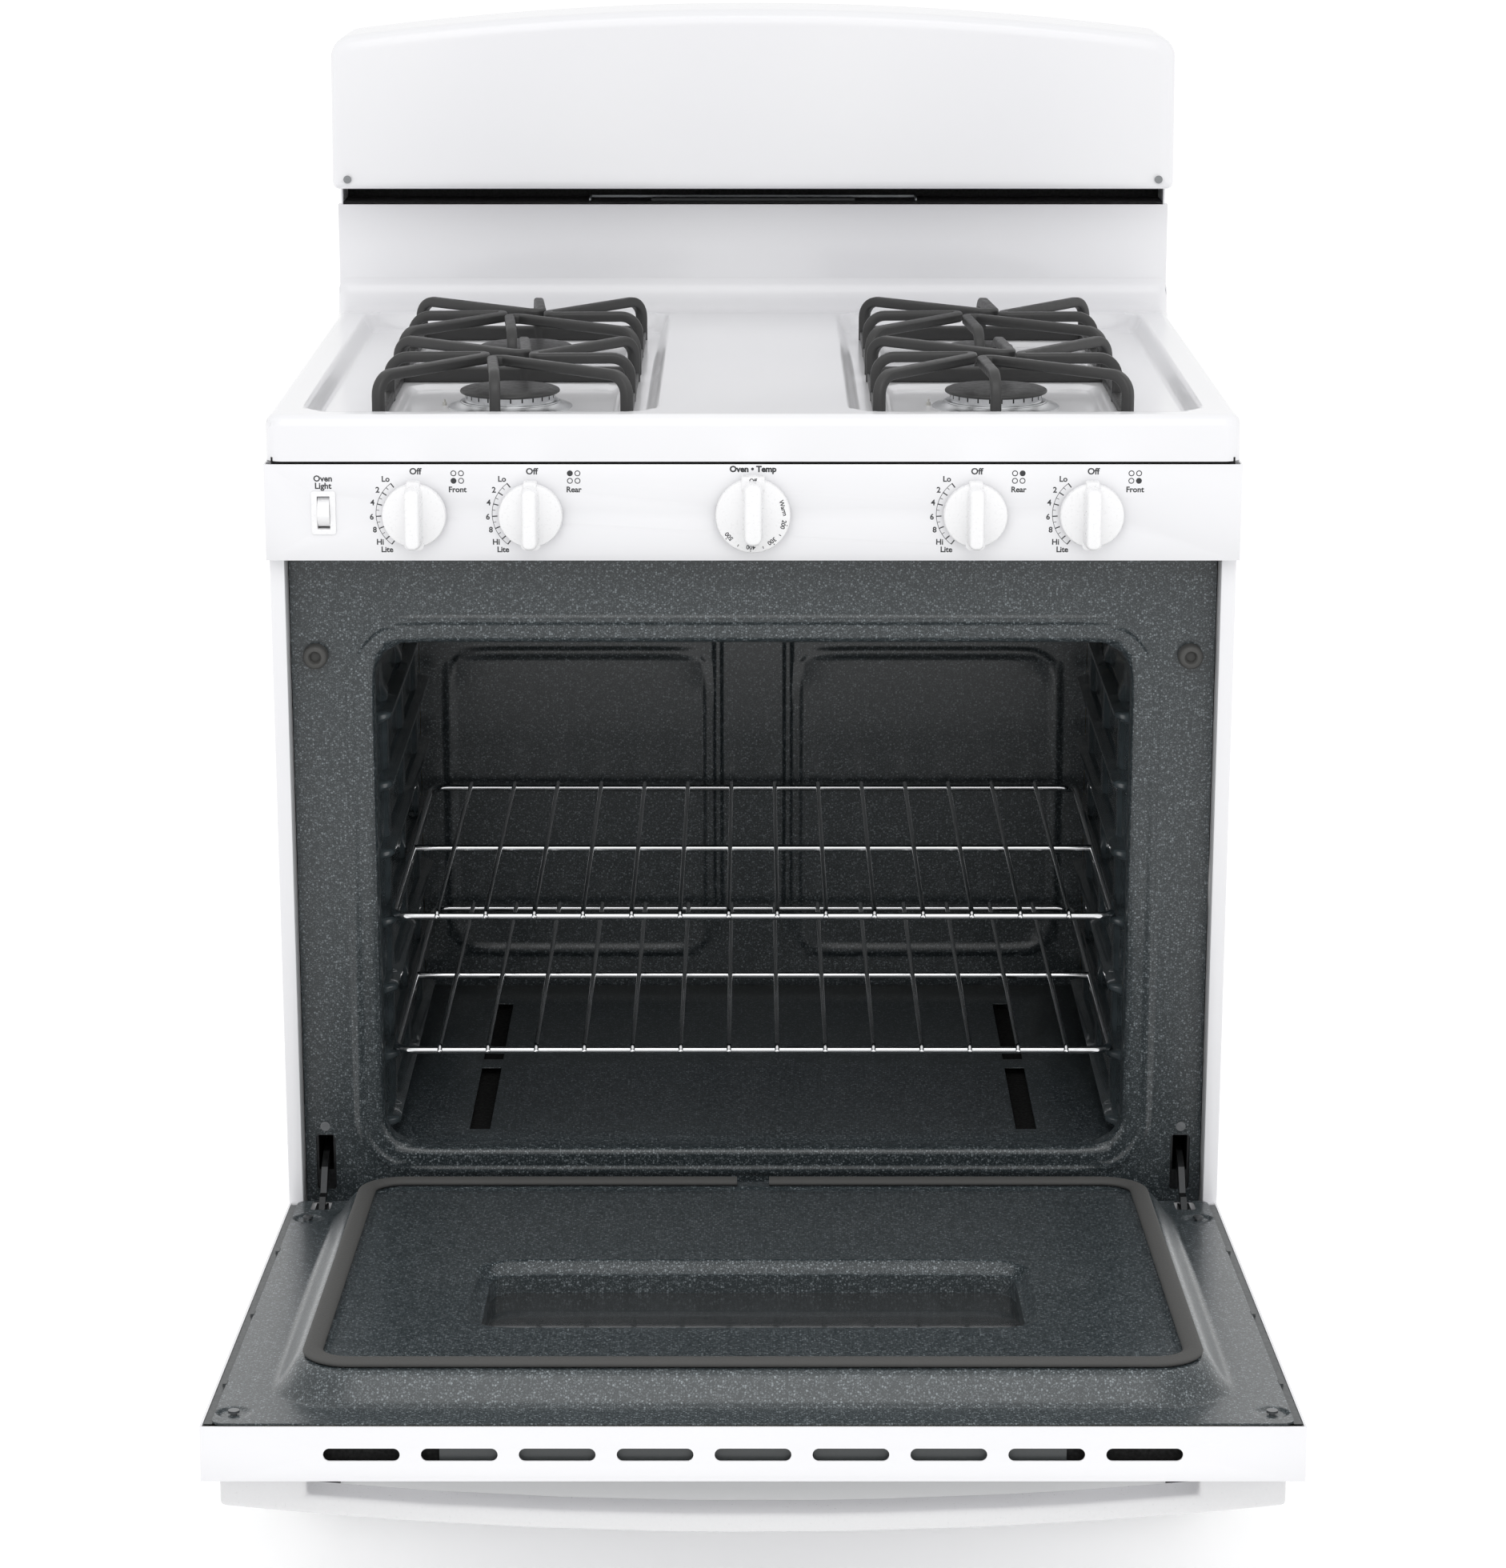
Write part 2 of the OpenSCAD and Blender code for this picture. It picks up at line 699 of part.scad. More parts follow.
module oven_lamp() {
  color([1, 1, 0.9]) body() {
    translate([oven_x - 60, 0, oven_top - 50]) {
      rod([0, oven_back + 1.6, 0], 36, 40, "y");
      rod([0, oven_back - 12, 0], 14, 34, "y");
    }
  }
}

module door_bumpers() {
  color([0.25, 0.25, 0.25]) body() both_sides() translate([bumper_x, 0, oven_top - 11]) {
    rod([0, frame_d - 10, 0], 9.8, 20, "y");
    rod([0, frame_d - 1, 0], 8, 7.8, "y");
  }
}

// pocket behind the front frame that the hinge's claw hooks into
module hinge_receivers() {
  color(steel) body() both_sides() difference() {
    box([hinge_x - 9, frame_d + sheet + 0.2, pivot_z + 4], [hinge_x + 9, frame_d + 60, pivot_z + 60]);
    box([hinge_x - 6, frame_d + 1, pivot_z + 25.2], [hinge_x + 6, frame_d + 54, pivot_z + 55]);
  }
}

// claw that stays in its pocket and holds the hinge's pin, in depth and height from the pin
module hinge_claws() {
  color(steel) body() both_sides() difference() {
    translate([hinge_x - claw_t / 2, pivot_d, pivot_z]) rotate([90, 0, 90]) linear_extrude(claw_t)
      polygon([[-6, -6], [-6, 6], [4, 15], [12, 15.5], [26, 33], [44, 41], [90, 41],
               [90, 25.5], [39, 25.5], [30, 20], [16, 11.6], [6, 11.3], [5, 6], [5, -3], [2, -6]]);
    rod([hinge_x - 10, pivot_d, pivot_z], 20, pin_dia + 2 * stem_fit, "x");
  }
}

// screws of the front frame and of the backguard's foot
module frame_screws() {
  color(steel) body() both_sides() {
    translate([hinge_x, frame_d - 1.2, oven_z + 21]) {
      rod([0, 0, 0], 1.1, 8, "y");
      rod([0, 0, 0], 6, 4.2, "y");
    }
    translate([guard_w / 2 - 14, guard_d + 0.8, guard_low + 9])
      rotate([90 - guard_lean, 0, 0]) cylinder(h = 2, d = 7);
  }
}

module drawer_rails() {
  color(steel) body() both_sides() difference() {
    box([drawer_x + 10, 44, toe_h + 24], [side_in - 0.3, body_d - 6, toe_h + 68]);
    box([drawer_x + 11.5, 40, toe_h + 25.5], [side_in - sheet, body_d, toe_h + 66.5]);
    box([drawer_x + 9, 40, toe_h + 37 - rest_gap], [drawer_x + 12, body_d - 60, toe_h + 58]);
  }
}

// ---- door, in its own closed frame ----

door_top = door_len;
outer_y = pivot_in - door_t;

module door_pan() {
  color(enamel_white) door() difference() {
    union() {
      difference() {
        box([-door_w / 2, outer_y, -door_lip], [door_w / 2, pivot_in - 1, door_top]);
        box([-door_w / 2 + sheet, outer_y + sheet, -door_lip + sheet],
            [door_w / 2 - sheet, pivot_in + 1, door_top - sheet]);
      }
    }
    // air slots in the top edge
    for (i = [-4:4])
      translate([i * 67, (outer_y + pivot_in) / 2 - 1, door_top - 5])
        linear_extrude(10) rounded(52.5, 9, 4.45);
    // window
    translate([0, outer_y - 1, window_mid]) upright(window_w + 30, window_h + 30, 14, 5);
    // holes for the handle's screws
    for (x = [-1, 1])
      rod([x * 340, outer_y - 1, door_top - 40], 5, 5, "y");
  }
}

// the plan of the raised inner panel, grown by e
module plug_plan(e) {
  low = oven_z - pivot_z - 32 - e;
  high = oven_top - pivot_z + 16 + e;
  translate([0, (low + high) / 2]) rounded(oven_w + 28 + 2 * e, high - low, 36 + e);
}

module plug_solid(y_from, y_to, e) {
  translate([0, y_to, 0]) rotate([90, 0, 0]) linear_extrude(y_to - y_from) plug_plan(e);
}

module door_liner() {
  color(speckled) door() difference() {
    union() {
      box([-door_w / 2 + 3, pivot_in - 1 + 0.1, -door_lip + 1], [door_w / 2 - 3, pivot_in + 0.5, door_top - 3]);
      plug_solid(pivot_in, pivot_in + plug_t, 0);
      plug_solid(pivot_in, pivot_in + plug_t * 0.5, 5);
    }
    plug_solid(pivot_in - 2, pivot_in + plug_t - wall, -wall);
    translate([0, pivot_in - 3, window_mid]) upright(window_w, window_h, 14, 40);
    for (x = [-1, 1]) {
      box([x * hinge_x - 8, pivot_in - 3, -6], [x * hinge_x + 8, pivot_in + 3, 18]);
      for (z = [42, door_top - 26])
        rod([x * screw_x, pivot_in - 3, z], 6, 4.4, "y");
    }
  }
  // box around the window's glass
  color(speckled) door() difference() {
    translate([0, pivot_in - 2, window_mid])
      upright(window_w + 4, window_h + 4, 16, plug_t + 1);
    translate([0, pivot_in - 3, window_mid])
      upright(window_w, window_h, 14, 60);
  }
}

module door_glass() {
  color([0.15, 0.16, 0.17]) door() {
    translate([0, pivot_in - 6 - rest_gap, window_mid]) upright(window_w + 20, window_h + 20, 8, 4);
    translate([0, outer_y + sheet + 0.2, window_mid]) upright(window_w + 50, window_h + 50, 16, 4);
  }
}

module door_gasket() {
  y_a = pivot_in + plug_t + 0.1;
  y_b = pivot_in + door_gap - rest_gap;
  color([0.28, 0.28, 0.27]) door() difference() {
    plug_solid(y_a, y_b, -1);
    plug_solid(y_a - 1, y_b + 1, -1 - gasket_w);
    // the rope's two ends meet at the foot
    box([-16, y_a - 1, 0], [16, y_b + 1, 40]);
  }
}

module door_insulation() {
  color([0.85, 0.8, 0.6]) door() difference() {
    box([-door_w / 2 + 40, outer_y + 8, 30], [door_w / 2 - 40, pivot_in - 0.9 - rest_gap, door_top - 30]);
    translate([0, outer_y, window_mid]) upright(window_w + 56, window_h + 56, 10, 60);
  }
}

module door_screws() {
  color(steel) door() for (x = [-1, 1], z = [42, door_top - 26])
    translate([x * screw_x, 0, z]) {
      rod([0, pivot_in + 0.6, 0], 1.6, 8, "y");
      rod([0, pivot_in - 6, 0], 7, 4.2, "y");
    }
}

// cheeks in the door and the pin that they turn on
module hinge_arms() {
  color(steel) door() both_sides() {
    for (s = [-1, 1]) {
      x = hinge_x + s * (claw_t / 2 + rest_gap + 1);
      box([x - 1, -12, -7], [x + 1, pivot_in - 1.2, 70]);
    }
    rod([hinge_x - claw_t / 2 - 2, 0, 0], claw_t + 4, pin_dia, "x");
    box([hinge_x - claw_t / 2 - 1, -12, 30], [hinge_x + claw_t / 2 + 1, -8, 70]);
  }
}

// plan of the bowed handle: an arc with a post at each end
module handle_plan() {
  half = 369;
  bar = 14;
  rise = handle_mid - handle_end;
  r = (half * half + rise * rise) / (2 * rise);
  intersection() {
    translate([-half, 0]) square([2 * half, handle_mid + 1]);
    difference() {
      translate([0, handle_mid - r]) circle(r = r, $fn = 400);
      translate([0, handle_mid - r - bar]) circle(r = r, $fn = 400);
    }
  }
  intersection() {
    translate([0, handle_mid - r]) circle(r = r, $fn = 400);
    for (s = [-1, 1])
      translate([s * (half - 30) - 30, 0]) square([60, handle_mid]);
  }
}

module door_handle() {
  color(enamel_white) door() translate([0, outer_y - 0.2, door_top - 56]) mirror([0, 1, 0])
    linear_extrude(30) handle_plan();
}

// ---- racks and drawer ----

module rack(z) {
  w = rack_w - 6;
  d0 = frame_d + 18;
  cross = 4;
  color(steel) body() {
    for (s = [-1, 1])
      rod([s * (w / 2 - rack_wire / 2), d0, z], rack_depth, rack_wire, "y");
    for (d = [rack_wire / 2, rack_depth / 2, rack_depth - rack_wire / 2])
      rod([-w / 2 + rack_wire / 2, d0 + d, z], w - rack_wire, rack_wire, "x");
    for (i = [0:rack_wires - 1])
      rod([(i - (rack_wires - 1) / 2) * 39.6, d0 + 2, z + rack_wire / 2 + cross / 2 - 1],
          rack_depth - 4, cross, "y");
  }
}

module drawer() {
  low = toe_h + 14;
  front_a = -6;
  front_b = side_d - 0.5;
  color(enamel_white) body() {
    difference() {
      union() {
        box([-door_w / 2, front_a, toe_h], [door_w / 2, front_b, drawer_top]);
        box([-drawer_x, front_b - 1, low], [drawer_x, drawer_back, drawer_top - 30]);
        // slides that run in the rails
        for (s = [-1, 1])
          box([s > 0 ? drawer_x - 1 : -drawer_x - 20, 60, toe_h + 37],
              [s > 0 ? drawer_x + 20 : -drawer_x + 1, drawer_back, toe_h + 57]);
      }
      box([-drawer_x + sheet, front_b, low + sheet],
          [drawer_x - sheet, drawer_back - sheet, drawer_top]);
      box([-door_w / 2 + sheet, front_a + sheet, toe_h + sheet],
          [door_w / 2 - sheet, front_b - sheet, drawer_top - sheet]);
    }
  }
}

side_panel_left();
side_panel_right();
back_panel();
base_frame();
leveling_feet();
front_frame();
oven_liner_sides();
oven_liner_top();
oven_liner_back();
oven_bottom();
oven_burner();
flame_spreader();
oven_insulation();
cooktop();
splash_panel();
backguard();
vent_duct();
control_panel();
manifold_pipe();
burner_valves();
oven_thermostat();
gas_regulator();
burner_heads();
burner_caps();
burner_tubes();
spark_electrodes();
spark_module();
oven_lamp();
door_bumpers();
hinge_receivers();
hinge_claws();
drawer_rails();
frame_screws();
switch_housing();
light_switch();
door_pan();
door_liner();
door_glass();
door_gasket();
door_handle();
hinge_arms();
door_insulation();
door_screws();
grate(0);  // grate_front_left
grate(1);  // grate_rear_left
grate(2);  // grate_front_right
grate(3);  // grate_rear_right
valve_plug(knob_xs[0]);  // valve_plug_1
valve_plug(knob_xs[1]);  // valve_plug_2
valve_plug(knob_xs[2]);  // valve_plug_3
valve_plug(knob_xs[3]);  // valve_plug_4
valve_plug(0);  // thermostat_plug
knob(knob_xs[0], knob_dia, 26, 13);  // burner_knob_1
knob(knob_xs[1], knob_dia, 26, 13);  // burner_knob_2
knob(knob_xs[2], knob_dia, 26, 13);  // burner_knob_3
knob(knob_xs[3], knob_dia, 26, 13);  // burner_knob_4
knob(0, oven_knob_dia, 28, 14);  // oven_knob
rack(rack_levels[1]);  // upper_rack
rack(rack_levels[0]);  // lower_rack
drawer();
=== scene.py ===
"""Looks for a freestanding gas range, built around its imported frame."""

import math

import bmesh
import bpy
from bpy.props import FloatProperty, FloatVectorProperty, IntProperty, PointerProperty
from mathutils import Matrix, Vector


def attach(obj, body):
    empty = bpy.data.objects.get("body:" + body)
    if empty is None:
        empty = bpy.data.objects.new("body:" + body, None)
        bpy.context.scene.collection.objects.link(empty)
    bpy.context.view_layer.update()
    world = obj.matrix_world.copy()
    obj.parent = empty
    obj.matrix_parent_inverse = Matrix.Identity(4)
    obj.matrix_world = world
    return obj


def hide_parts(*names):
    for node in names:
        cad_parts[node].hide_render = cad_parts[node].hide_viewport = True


bl_info = {
    "name": "Freestanding gas range",
    "version": (1, 0, 0),
    "blender": (4, 5, 0),
    "location": "3D View > Sidebar > Gas Range",
    "description": "Enamelled, cast and wire pieces for a freestanding gas range",
    "category": "Add Mesh",
}

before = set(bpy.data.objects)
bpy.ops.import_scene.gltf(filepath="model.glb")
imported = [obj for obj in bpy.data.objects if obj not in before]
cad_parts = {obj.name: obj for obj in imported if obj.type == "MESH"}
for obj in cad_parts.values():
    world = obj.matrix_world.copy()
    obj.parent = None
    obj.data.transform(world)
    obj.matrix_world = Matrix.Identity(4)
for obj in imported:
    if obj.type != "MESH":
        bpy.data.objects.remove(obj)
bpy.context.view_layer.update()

# ---- sizes, in millimetres; d is the depth behind the cooktop's front edge ----

Y0 = -55.896  # the cooktop's front edge in the frame
BODY_W = 759
RIM_Z = 921
LIP_Z = 885
WELL_Z = 908
RECESS_Z = 904
SPLASH_D = 600
COVE_R = 28
BURNERS = ((-197, 150, 81), (-197, 388, 81), (197, 150, 83), (197, 388, 57))
BURNER_NAMES = ("front_left", "rear_left", "front_right", "rear_right")
CAP_Z = 915.6
CAP_TOP = 920.6
GRATE_TOP = 948
LEG_X = 97.7
LEG_Y = 99.7
KNOB_X = (-263.5, -173, 173, 263.5)
KNOB_Z = 844
KNOB_REAR = -5.7
PANEL_FACE = -1.5
FRAME_D = 38
FRAME_X = 367.5
FRAME_LOW = 234.5
FRAME_TOP = 813
OVEN_X = 304
OVEN_Z = 305
OVEN_TOP = 733
OVEN_BACK = 490
LADDER_Z = tuple(326.5 + 57.5 * i for i in range(7))
RACK_Z = {"lower_rack": LADDER_Z[1], "upper_rack": LADDER_Z[3]}
RACK_WIRE_PITCH = 39.6
GUARD_LOW = 1036
GUARD_TOP = 1195
GUARD_HALF = 377.5
GUARD_D = 540
BACK_D = 655
PIVOT_D = -2
PIVOT_Z = 262.5
DOOR_OPEN = 85.6
DOOR_TOP = 540.5
HINGE_X = 351
SLOT_W = 16  # the slots that the hinges pass through
BUMPER_X = 348
BUMPER_Z = OVEN_TOP - 11
# rounded rectangles: middle across, middle up, width, height and corner radius
PLUG = (0, 248.5, 636, 476, 36)
WINDOW = (0, 304.5, 396, 143, 22)
MOUTH = (0, (OVEN_Z + OVEN_TOP) / 2, 605, 425, 28.5)
LAMP = (OVEN_X - 60, OVEN_TOP - 50, 42, 42, 21)

BODY = Matrix.Translation((0, Y0 / 1000, 0)) @ Matrix.Scale(0.001, 4)
DOOR = (
    Matrix.Translation((0, (Y0 + PIVOT_D) / 1000, PIVOT_Z / 1000))
    @ Matrix.Rotation(math.radians(DOOR_OPEN), 4, "X")
    @ Matrix.Scale(0.001, 4)
)


def linear(code):
    """Turns an sRGB hex colour into linear red, green, blue and alpha."""
    out = []
    for i in (0, 2, 4):
        c = int(code[i : i + 2], 16) / 255
        out.append(c / 12.92 if c <= 0.04045 else ((c + 0.055) / 1.055) ** 2.4)
    return (*out, 1.0)


class RangeSizes(bpy.types.PropertyGroup):
    """Sizes of the small pieces"""

    knob_skirt: FloatProperty(
        name="Burner knob", description="Diameter of a burner knob's skirt",
        default=0.05, min=0.044, max=0.056, unit="LENGTH")
    oven_skirt: FloatProperty(
        name="Oven knob", description="Diameter of the oven knob's skirt",
        default=0.0585, min=0.054, max=0.066, unit="LENGTH")
    grate_bar: FloatProperty(
        name="Grate bar", description="Width of a grate's square bar",
        default=0.0086, min=0.007, max=0.009, unit="LENGTH")
    rack_wire: FloatProperty(
        name="Rack wire", description="Diameter of the wires across a rack",
        default=0.004, min=0.003, max=0.005, unit="LENGTH")
    rack_wires: IntProperty(
        name="Rack wires", description="Number of wires from front to back of a rack",
        default=14, min=10, max=18)
    gasket: FloatProperty(
        name="Gasket", description="Width of the door gasket's rope",
        default=0.0145, min=0.009, max=0.016, unit="LENGTH")


class RangeColours(bpy.types.PropertyGroup):
    """Colours of the enamels"""

    enamel: FloatVectorProperty(
        name="White enamel", description="Colour of the outer enamel",
        subtype="COLOR", size=4, min=0, max=1, default=linear("E8E8EA"))
    oven: FloatVectorProperty(
        name="Oven enamel", description="Ground colour of the speckled oven enamel",
        subtype="COLOR", size=4, min=0, max=1, default=linear("272E31"))
    speckle: FloatVectorProperty(
        name="Speckle", description="Colour of the speckles in the oven enamel",
        subtype="COLOR", size=4, min=0, max=1, default=linear("8B9397"))
    grate: FloatVectorProperty(
        name="Grates", description="Colour of the grates and burner caps",
        subtype="COLOR", size=4, min=0, max=1, default=linear("343434"))


# ---- node and mesh helpers ----


def add_node(tree, kind, sockets=None, **settings):
    """Adds a node with its settings; a socket's value is a number or another node's output."""
    node = tree.nodes.new(kind)
    for name, value in settings.items():
        setattr(node, name, value)
    for name, value in (sockets or {}).items():
        if isinstance(value, bpy.types.NodeSocket):
            tree.links.new(value, node.inputs[name])
        else:
            node.inputs[name].default_value = value
    return node


def new_finish(name, colour, roughness, metallic=0.0, **shader):
    """A material with one shader, and the object's own coordinates for its patterns."""
    material = bpy.data.materials.new(name)
    material.use_nodes = True
    tree = material.node_tree
    tree.nodes.clear()
    out = add_node(tree, "ShaderNodeOutputMaterial")
    surface = add_node(tree, "ShaderNodeBsdfPrincipled", {
        "Base Color": colour, "Roughness": roughness, "Metallic": metallic, **shader})
    tree.links.new(surface.outputs["BSDF"], out.inputs["Surface"])
    coords = add_node(tree, "ShaderNodeTexCoord").outputs["Object"]
    return material, tree, surface, coords


def mottle(tree, surface, coords, size_mm, tones, gloss=None, depth_mm=0.0, detail=3.0):
    """Soft lumps about size_mm across that shift a surface's colour, its gloss and its skin."""
    lumps = add_node(tree, "ShaderNodeTexNoise", {
        "Vector": coords, "Scale": 1000 / size_mm, "Detail": detail}).outputs["Fac"]
    tone = add_node(tree, "ShaderNodeMix", {0: lumps, 6: tones[0], 7: tones[1]}, data_type="RGBA")
    tree.links.new(tone.outputs[2], surface.inputs["Base Color"])
    if gloss:
        spread = add_node(tree, "ShaderNodeMapRange", {
            "Value": lumps, "From Min": 0.3, "From Max": 0.7, "To Min": gloss[0], "To Max": gloss[1]})
        tree.links.new(spread.outputs["Result"], surface.inputs["Roughness"])
    if depth_mm:
        skin = add_node(tree, "ShaderNodeBump", {
            "Height": lumps, "Distance": depth_mm / 1000, "Strength": 0.4})
        tree.links.new(skin.outputs["Normal"], surface.inputs["Normal"])
    return tone.outputs[2]


def white_porcelain(colours):
    """Porcelain enamel fired on steel: a deep, even gloss, its tone and shine drifting very slowly."""
    material, tree, surface, coords = new_finish(
        "white_porcelain_enamel", colours.enamel, 0.2, **{"Coat Weight": 0.3, "Coat Roughness": 0.1})
    mottle(tree, surface, coords, 160, (linear("E3E3E6"), colours.enamel), (0.2, 0.24), detail=0.0)
    return material


def speckled_porcelain(colours, name, shade=1.0):
    """Ground-coat enamel: dark blue-grey glass full of pale frit specks, 1 to 2 mm across; a shade above 1
    lightens the ground and the specks together as painted light.
    """
    # shade scales the ground and the specks; above 1 it is painted light
    ground = tuple(c * shade for c in colours.oven[:3]) + (1.0,)
    deep = tuple(c * 0.75 for c in ground[:3]) + (1.0,)
    fleck = tuple(c * shade for c in colours.speckle[:3]) + (1.0,)
    material, tree, surface, coords = new_finish(
        name, ground, 0.3, **{"Coat Weight": 0.2, "Coat Roughness": 0.15})
    base = mottle(tree, surface, coords, 4, (deep, ground), depth_mm=0.03)
    for size, share, pale in ((1.1, 0.25, 0.4), (1.7, 0.62, 0.7)):
        cells = add_node(tree, "ShaderNodeTexVoronoi", {"Vector": coords, "Scale": 1000 / size})
        chance = add_node(tree, "ShaderNodeSeparateColor", {"Color": cells.outputs["Color"]})
        picked = add_node(tree, "ShaderNodeMapRange", {
            "Value": chance.outputs["Red"], "From Min": share, "To Max": pale}).outputs["Result"]
        dot = add_node(tree, "ShaderNodeMapRange", {
            "Value": cells.outputs["Distance"], "From Min": 0.25, "From Max": 0.6,
            "To Min": 1.0, "To Max": 0.0}).outputs["Result"]
        mask = add_node(tree, "ShaderNodeMath", {0: picked, 1: dot}, operation="MULTIPLY")
        base = add_node(tree, "ShaderNodeMix", {0: mask.outputs[0], 6: base, 7: fleck},
                        data_type="RGBA").outputs[2]
    tree.links.new(base, surface.inputs["Base Color"])
    return material


def ladder_enamel():
    """The same ground coat, thick and runny on the pressed ladders: nearly black and very glossy, its colour
    painted lighter than the oven's ground as painted light on the ladders.
    """
    material, tree, surface, coords = new_finish(
        "glossy_ladder_enamel_painted_lit", linear("343B3E"), 0.16, **{"Coat Weight": 0.8, "Coat Roughness": 0.05})
    mottle(tree, surface, coords, 17, (linear("282E30"), linear("464E52")), (0.14, 0.22), 0.25, 1.0)
    return material


def grained(name, code, second, size_mm, roughness, depth_mm, metallic=0.0, **shader):
    """A metal, plastic, rubber or other plain finish: two close tones in a grain of size_mm."""
    colour = linear(code) if isinstance(code, str) else code
    material, tree, surface, coords = new_finish(name, colour, roughness, metallic, **shader)
    mottle(tree, surface, coords, size_mm, (linear(second), colour),
           (roughness * 0.85, roughness * 1.2), depth_mm)
    return material


def galvanised_steel():
    """Hot-dipped zinc: crystals of spangle about 12 mm across, each a little lighter or darker."""
    material, tree, surface, coords = new_finish("galvanised_steel", linear("AEB2B5"), 0.38, 1.0)
    cells = add_node(tree, "ShaderNodeTexVoronoi", {"Vector": coords, "Scale": 1000 / 12})
    tone = add_node(tree, "ShaderNodeSeparateColor", {"Color": cells.outputs["Color"]})
    blend = add_node(tree, "ShaderNodeMix", {
        0: tone.outputs["Red"], 6: linear("A3A7AA"), 7: linear("B6BABC")}, data_type="RGBA")
    tree.links.new(blend.outputs[2], surface.inputs["Base Color"])
    gloss = add_node(tree, "ShaderNodeMapRange", {
        "Value": tone.outputs["Green"], "To Min": 0.3, "To Max": 0.5})
    tree.links.new(gloss.outputs["Result"], surface.inputs["Roughness"])
    return material


def dark_window():
    """Heat-reflecting oven glass seen against the dark door: near black with faint upright streaks."""
    material, tree, surface, coords = new_finish(
        "dark_oven_glass", linear("1E2021"), 0.12, **{"Coat Weight": 0.5, "Coat Roughness": 0.03})
    place = add_node(tree, "ShaderNodeMapping", {"Vector": coords, "Scale": (1, 0.04, 0.04)})
    mottle(tree, surface, place.outputs[0], 14, (linear("161818"), linear("35383A")), (0.08, 0.2))
    return material


FINISH = {}
REPEAT = None


def make_finishes(colours):
    """Makes every finish once; the slot name listed beside each is not used."""
    made = (
        ("enamel", white_porcelain(colours), "white_enamel"),
        ("speckled", speckled_porcelain(colours, "speckled_oven_enamel"), "speckled_enamel"),
        # the same enamel painted lighter, as painted light, where it lies in the light: inside the door and
        # on the oven's floor
        ("inner", speckled_porcelain(colours, "speckled_enamel_painted_lit", 1.2), "speckled_enamel"),
        ("ladder", ladder_enamel(), "speckled_enamel"),
        # satin black enamel on iron bar
        ("grate", grained("satin_black_enamel", colours.grate, "2A2A2A", 5, 0.44, 0.06), "grate_enamel"),
        # grey enamel on the door's folded edges
        ("edge", grained("grey_edge_enamel", "4A4D4E", "414445", 3, 0.4, 0.04), "speckled_enamel"),
        # moulded phenolic: white, smooth, a slightly soft shine
        ("knob", grained("moulded_white_plastic", "EFEFF0", "EAEAEB", 2.2, 0.3, 0.02), "white_plastic"),
        # the door handle's satin paint, painted a shade darker than the enamel as painted shade, for the
        # shade under the open door
        ("handle", grained("white_paint_painted_shade", "DADADB", "D5D5D6", 2.2, 0.32, 0.02), "white_enamel"),
        # bright nickel-chrome plate on wire
        ("chrome", grained("chromium_plate", "E2E3E4", "D2D3D5", 7, 0.1, 0.02, 1.0), "chromed_wire"),
        # die-cast aluminium: pale grey, fine sandy skin
        ("aluminium", grained("die_cast_aluminium", "D8D9DB", "BFC1C3", 1.8, 0.34, 0.06, 1.0),
         "cast_aluminium"),
        ("galvanised", galvanised_steel(), "galvanised_steel"),
        # zinc-plated and blackened fastener steel
        ("plated", grained("zinc_plated_steel", "8E9092", "77797B", 2.5, 0.34, 0.04, 1.0), "plated_steel"),
        ("hinge", grained("blackened_spring_steel", "4A4B4C", "353637", 3, 0.4, 0.05, 1.0), "plated_steel"),
        # machined brass
        ("brass", grained("machined_brass", "C9A860", "B8964F", 2.2, 0.28, 0.03, 1.0), "valve_brass"),
        # knitted rope of glass fibre, dull dark grey
        ("rope", grained("glass_fibre_rope", "545453", "3E3E3D", 1.4, 0.85, 0.3), "glass_fibre_rope"),
        # pale yellow blanket of glass wool
        ("wool", grained("glass_wool", "D8C690", "B9A36C", 4, 0.8, 1.2), "glass_wool"),
        ("window", dark_window(), "window_glass"),
        # clear pressed lamp cover
        ("lamp", grained("lamp_glass", "F4F2E8", "EAE6D6", 8, 0.08, 0.02,
                         **{"Transmission Weight": 0.85}), "lamp_glass"),
        # black moulded nylon
        ("nylon", grained("black_nylon", "262627", "1E1E1F", 1.5, 0.5, 0.05), "foot_plastic"),
        # soft dark silicone
        ("rubber", grained("silicone_rubber", "4A4A48", "40403F", 1.8, 0.6, 0.05), "silicone_rubber"),
        # alumina, greyed by use
        ("ceramic", grained("alumina_ceramic", "C4C3BE", "AFAEA9", 2.4, 0.35, 0.02), "electrode_ceramic"),
        # dark grey screen-printed ink
        ("ink", grained("printed_ink", "333437", "2D2E31", 1.6, 0.55, 0.01), "white_enamel"),
        # painted shade: black for the unlit depth behind the vents, the slots, the burner ports and the
        # cooktop's lip
        ("shade", grained("painted_shade_black", "0B0B0B", "070707", 2.4, 0.8, 0.05), "galvanised_steel"),
    )
    for name, material, slot in made:
        FINISH[name] = material


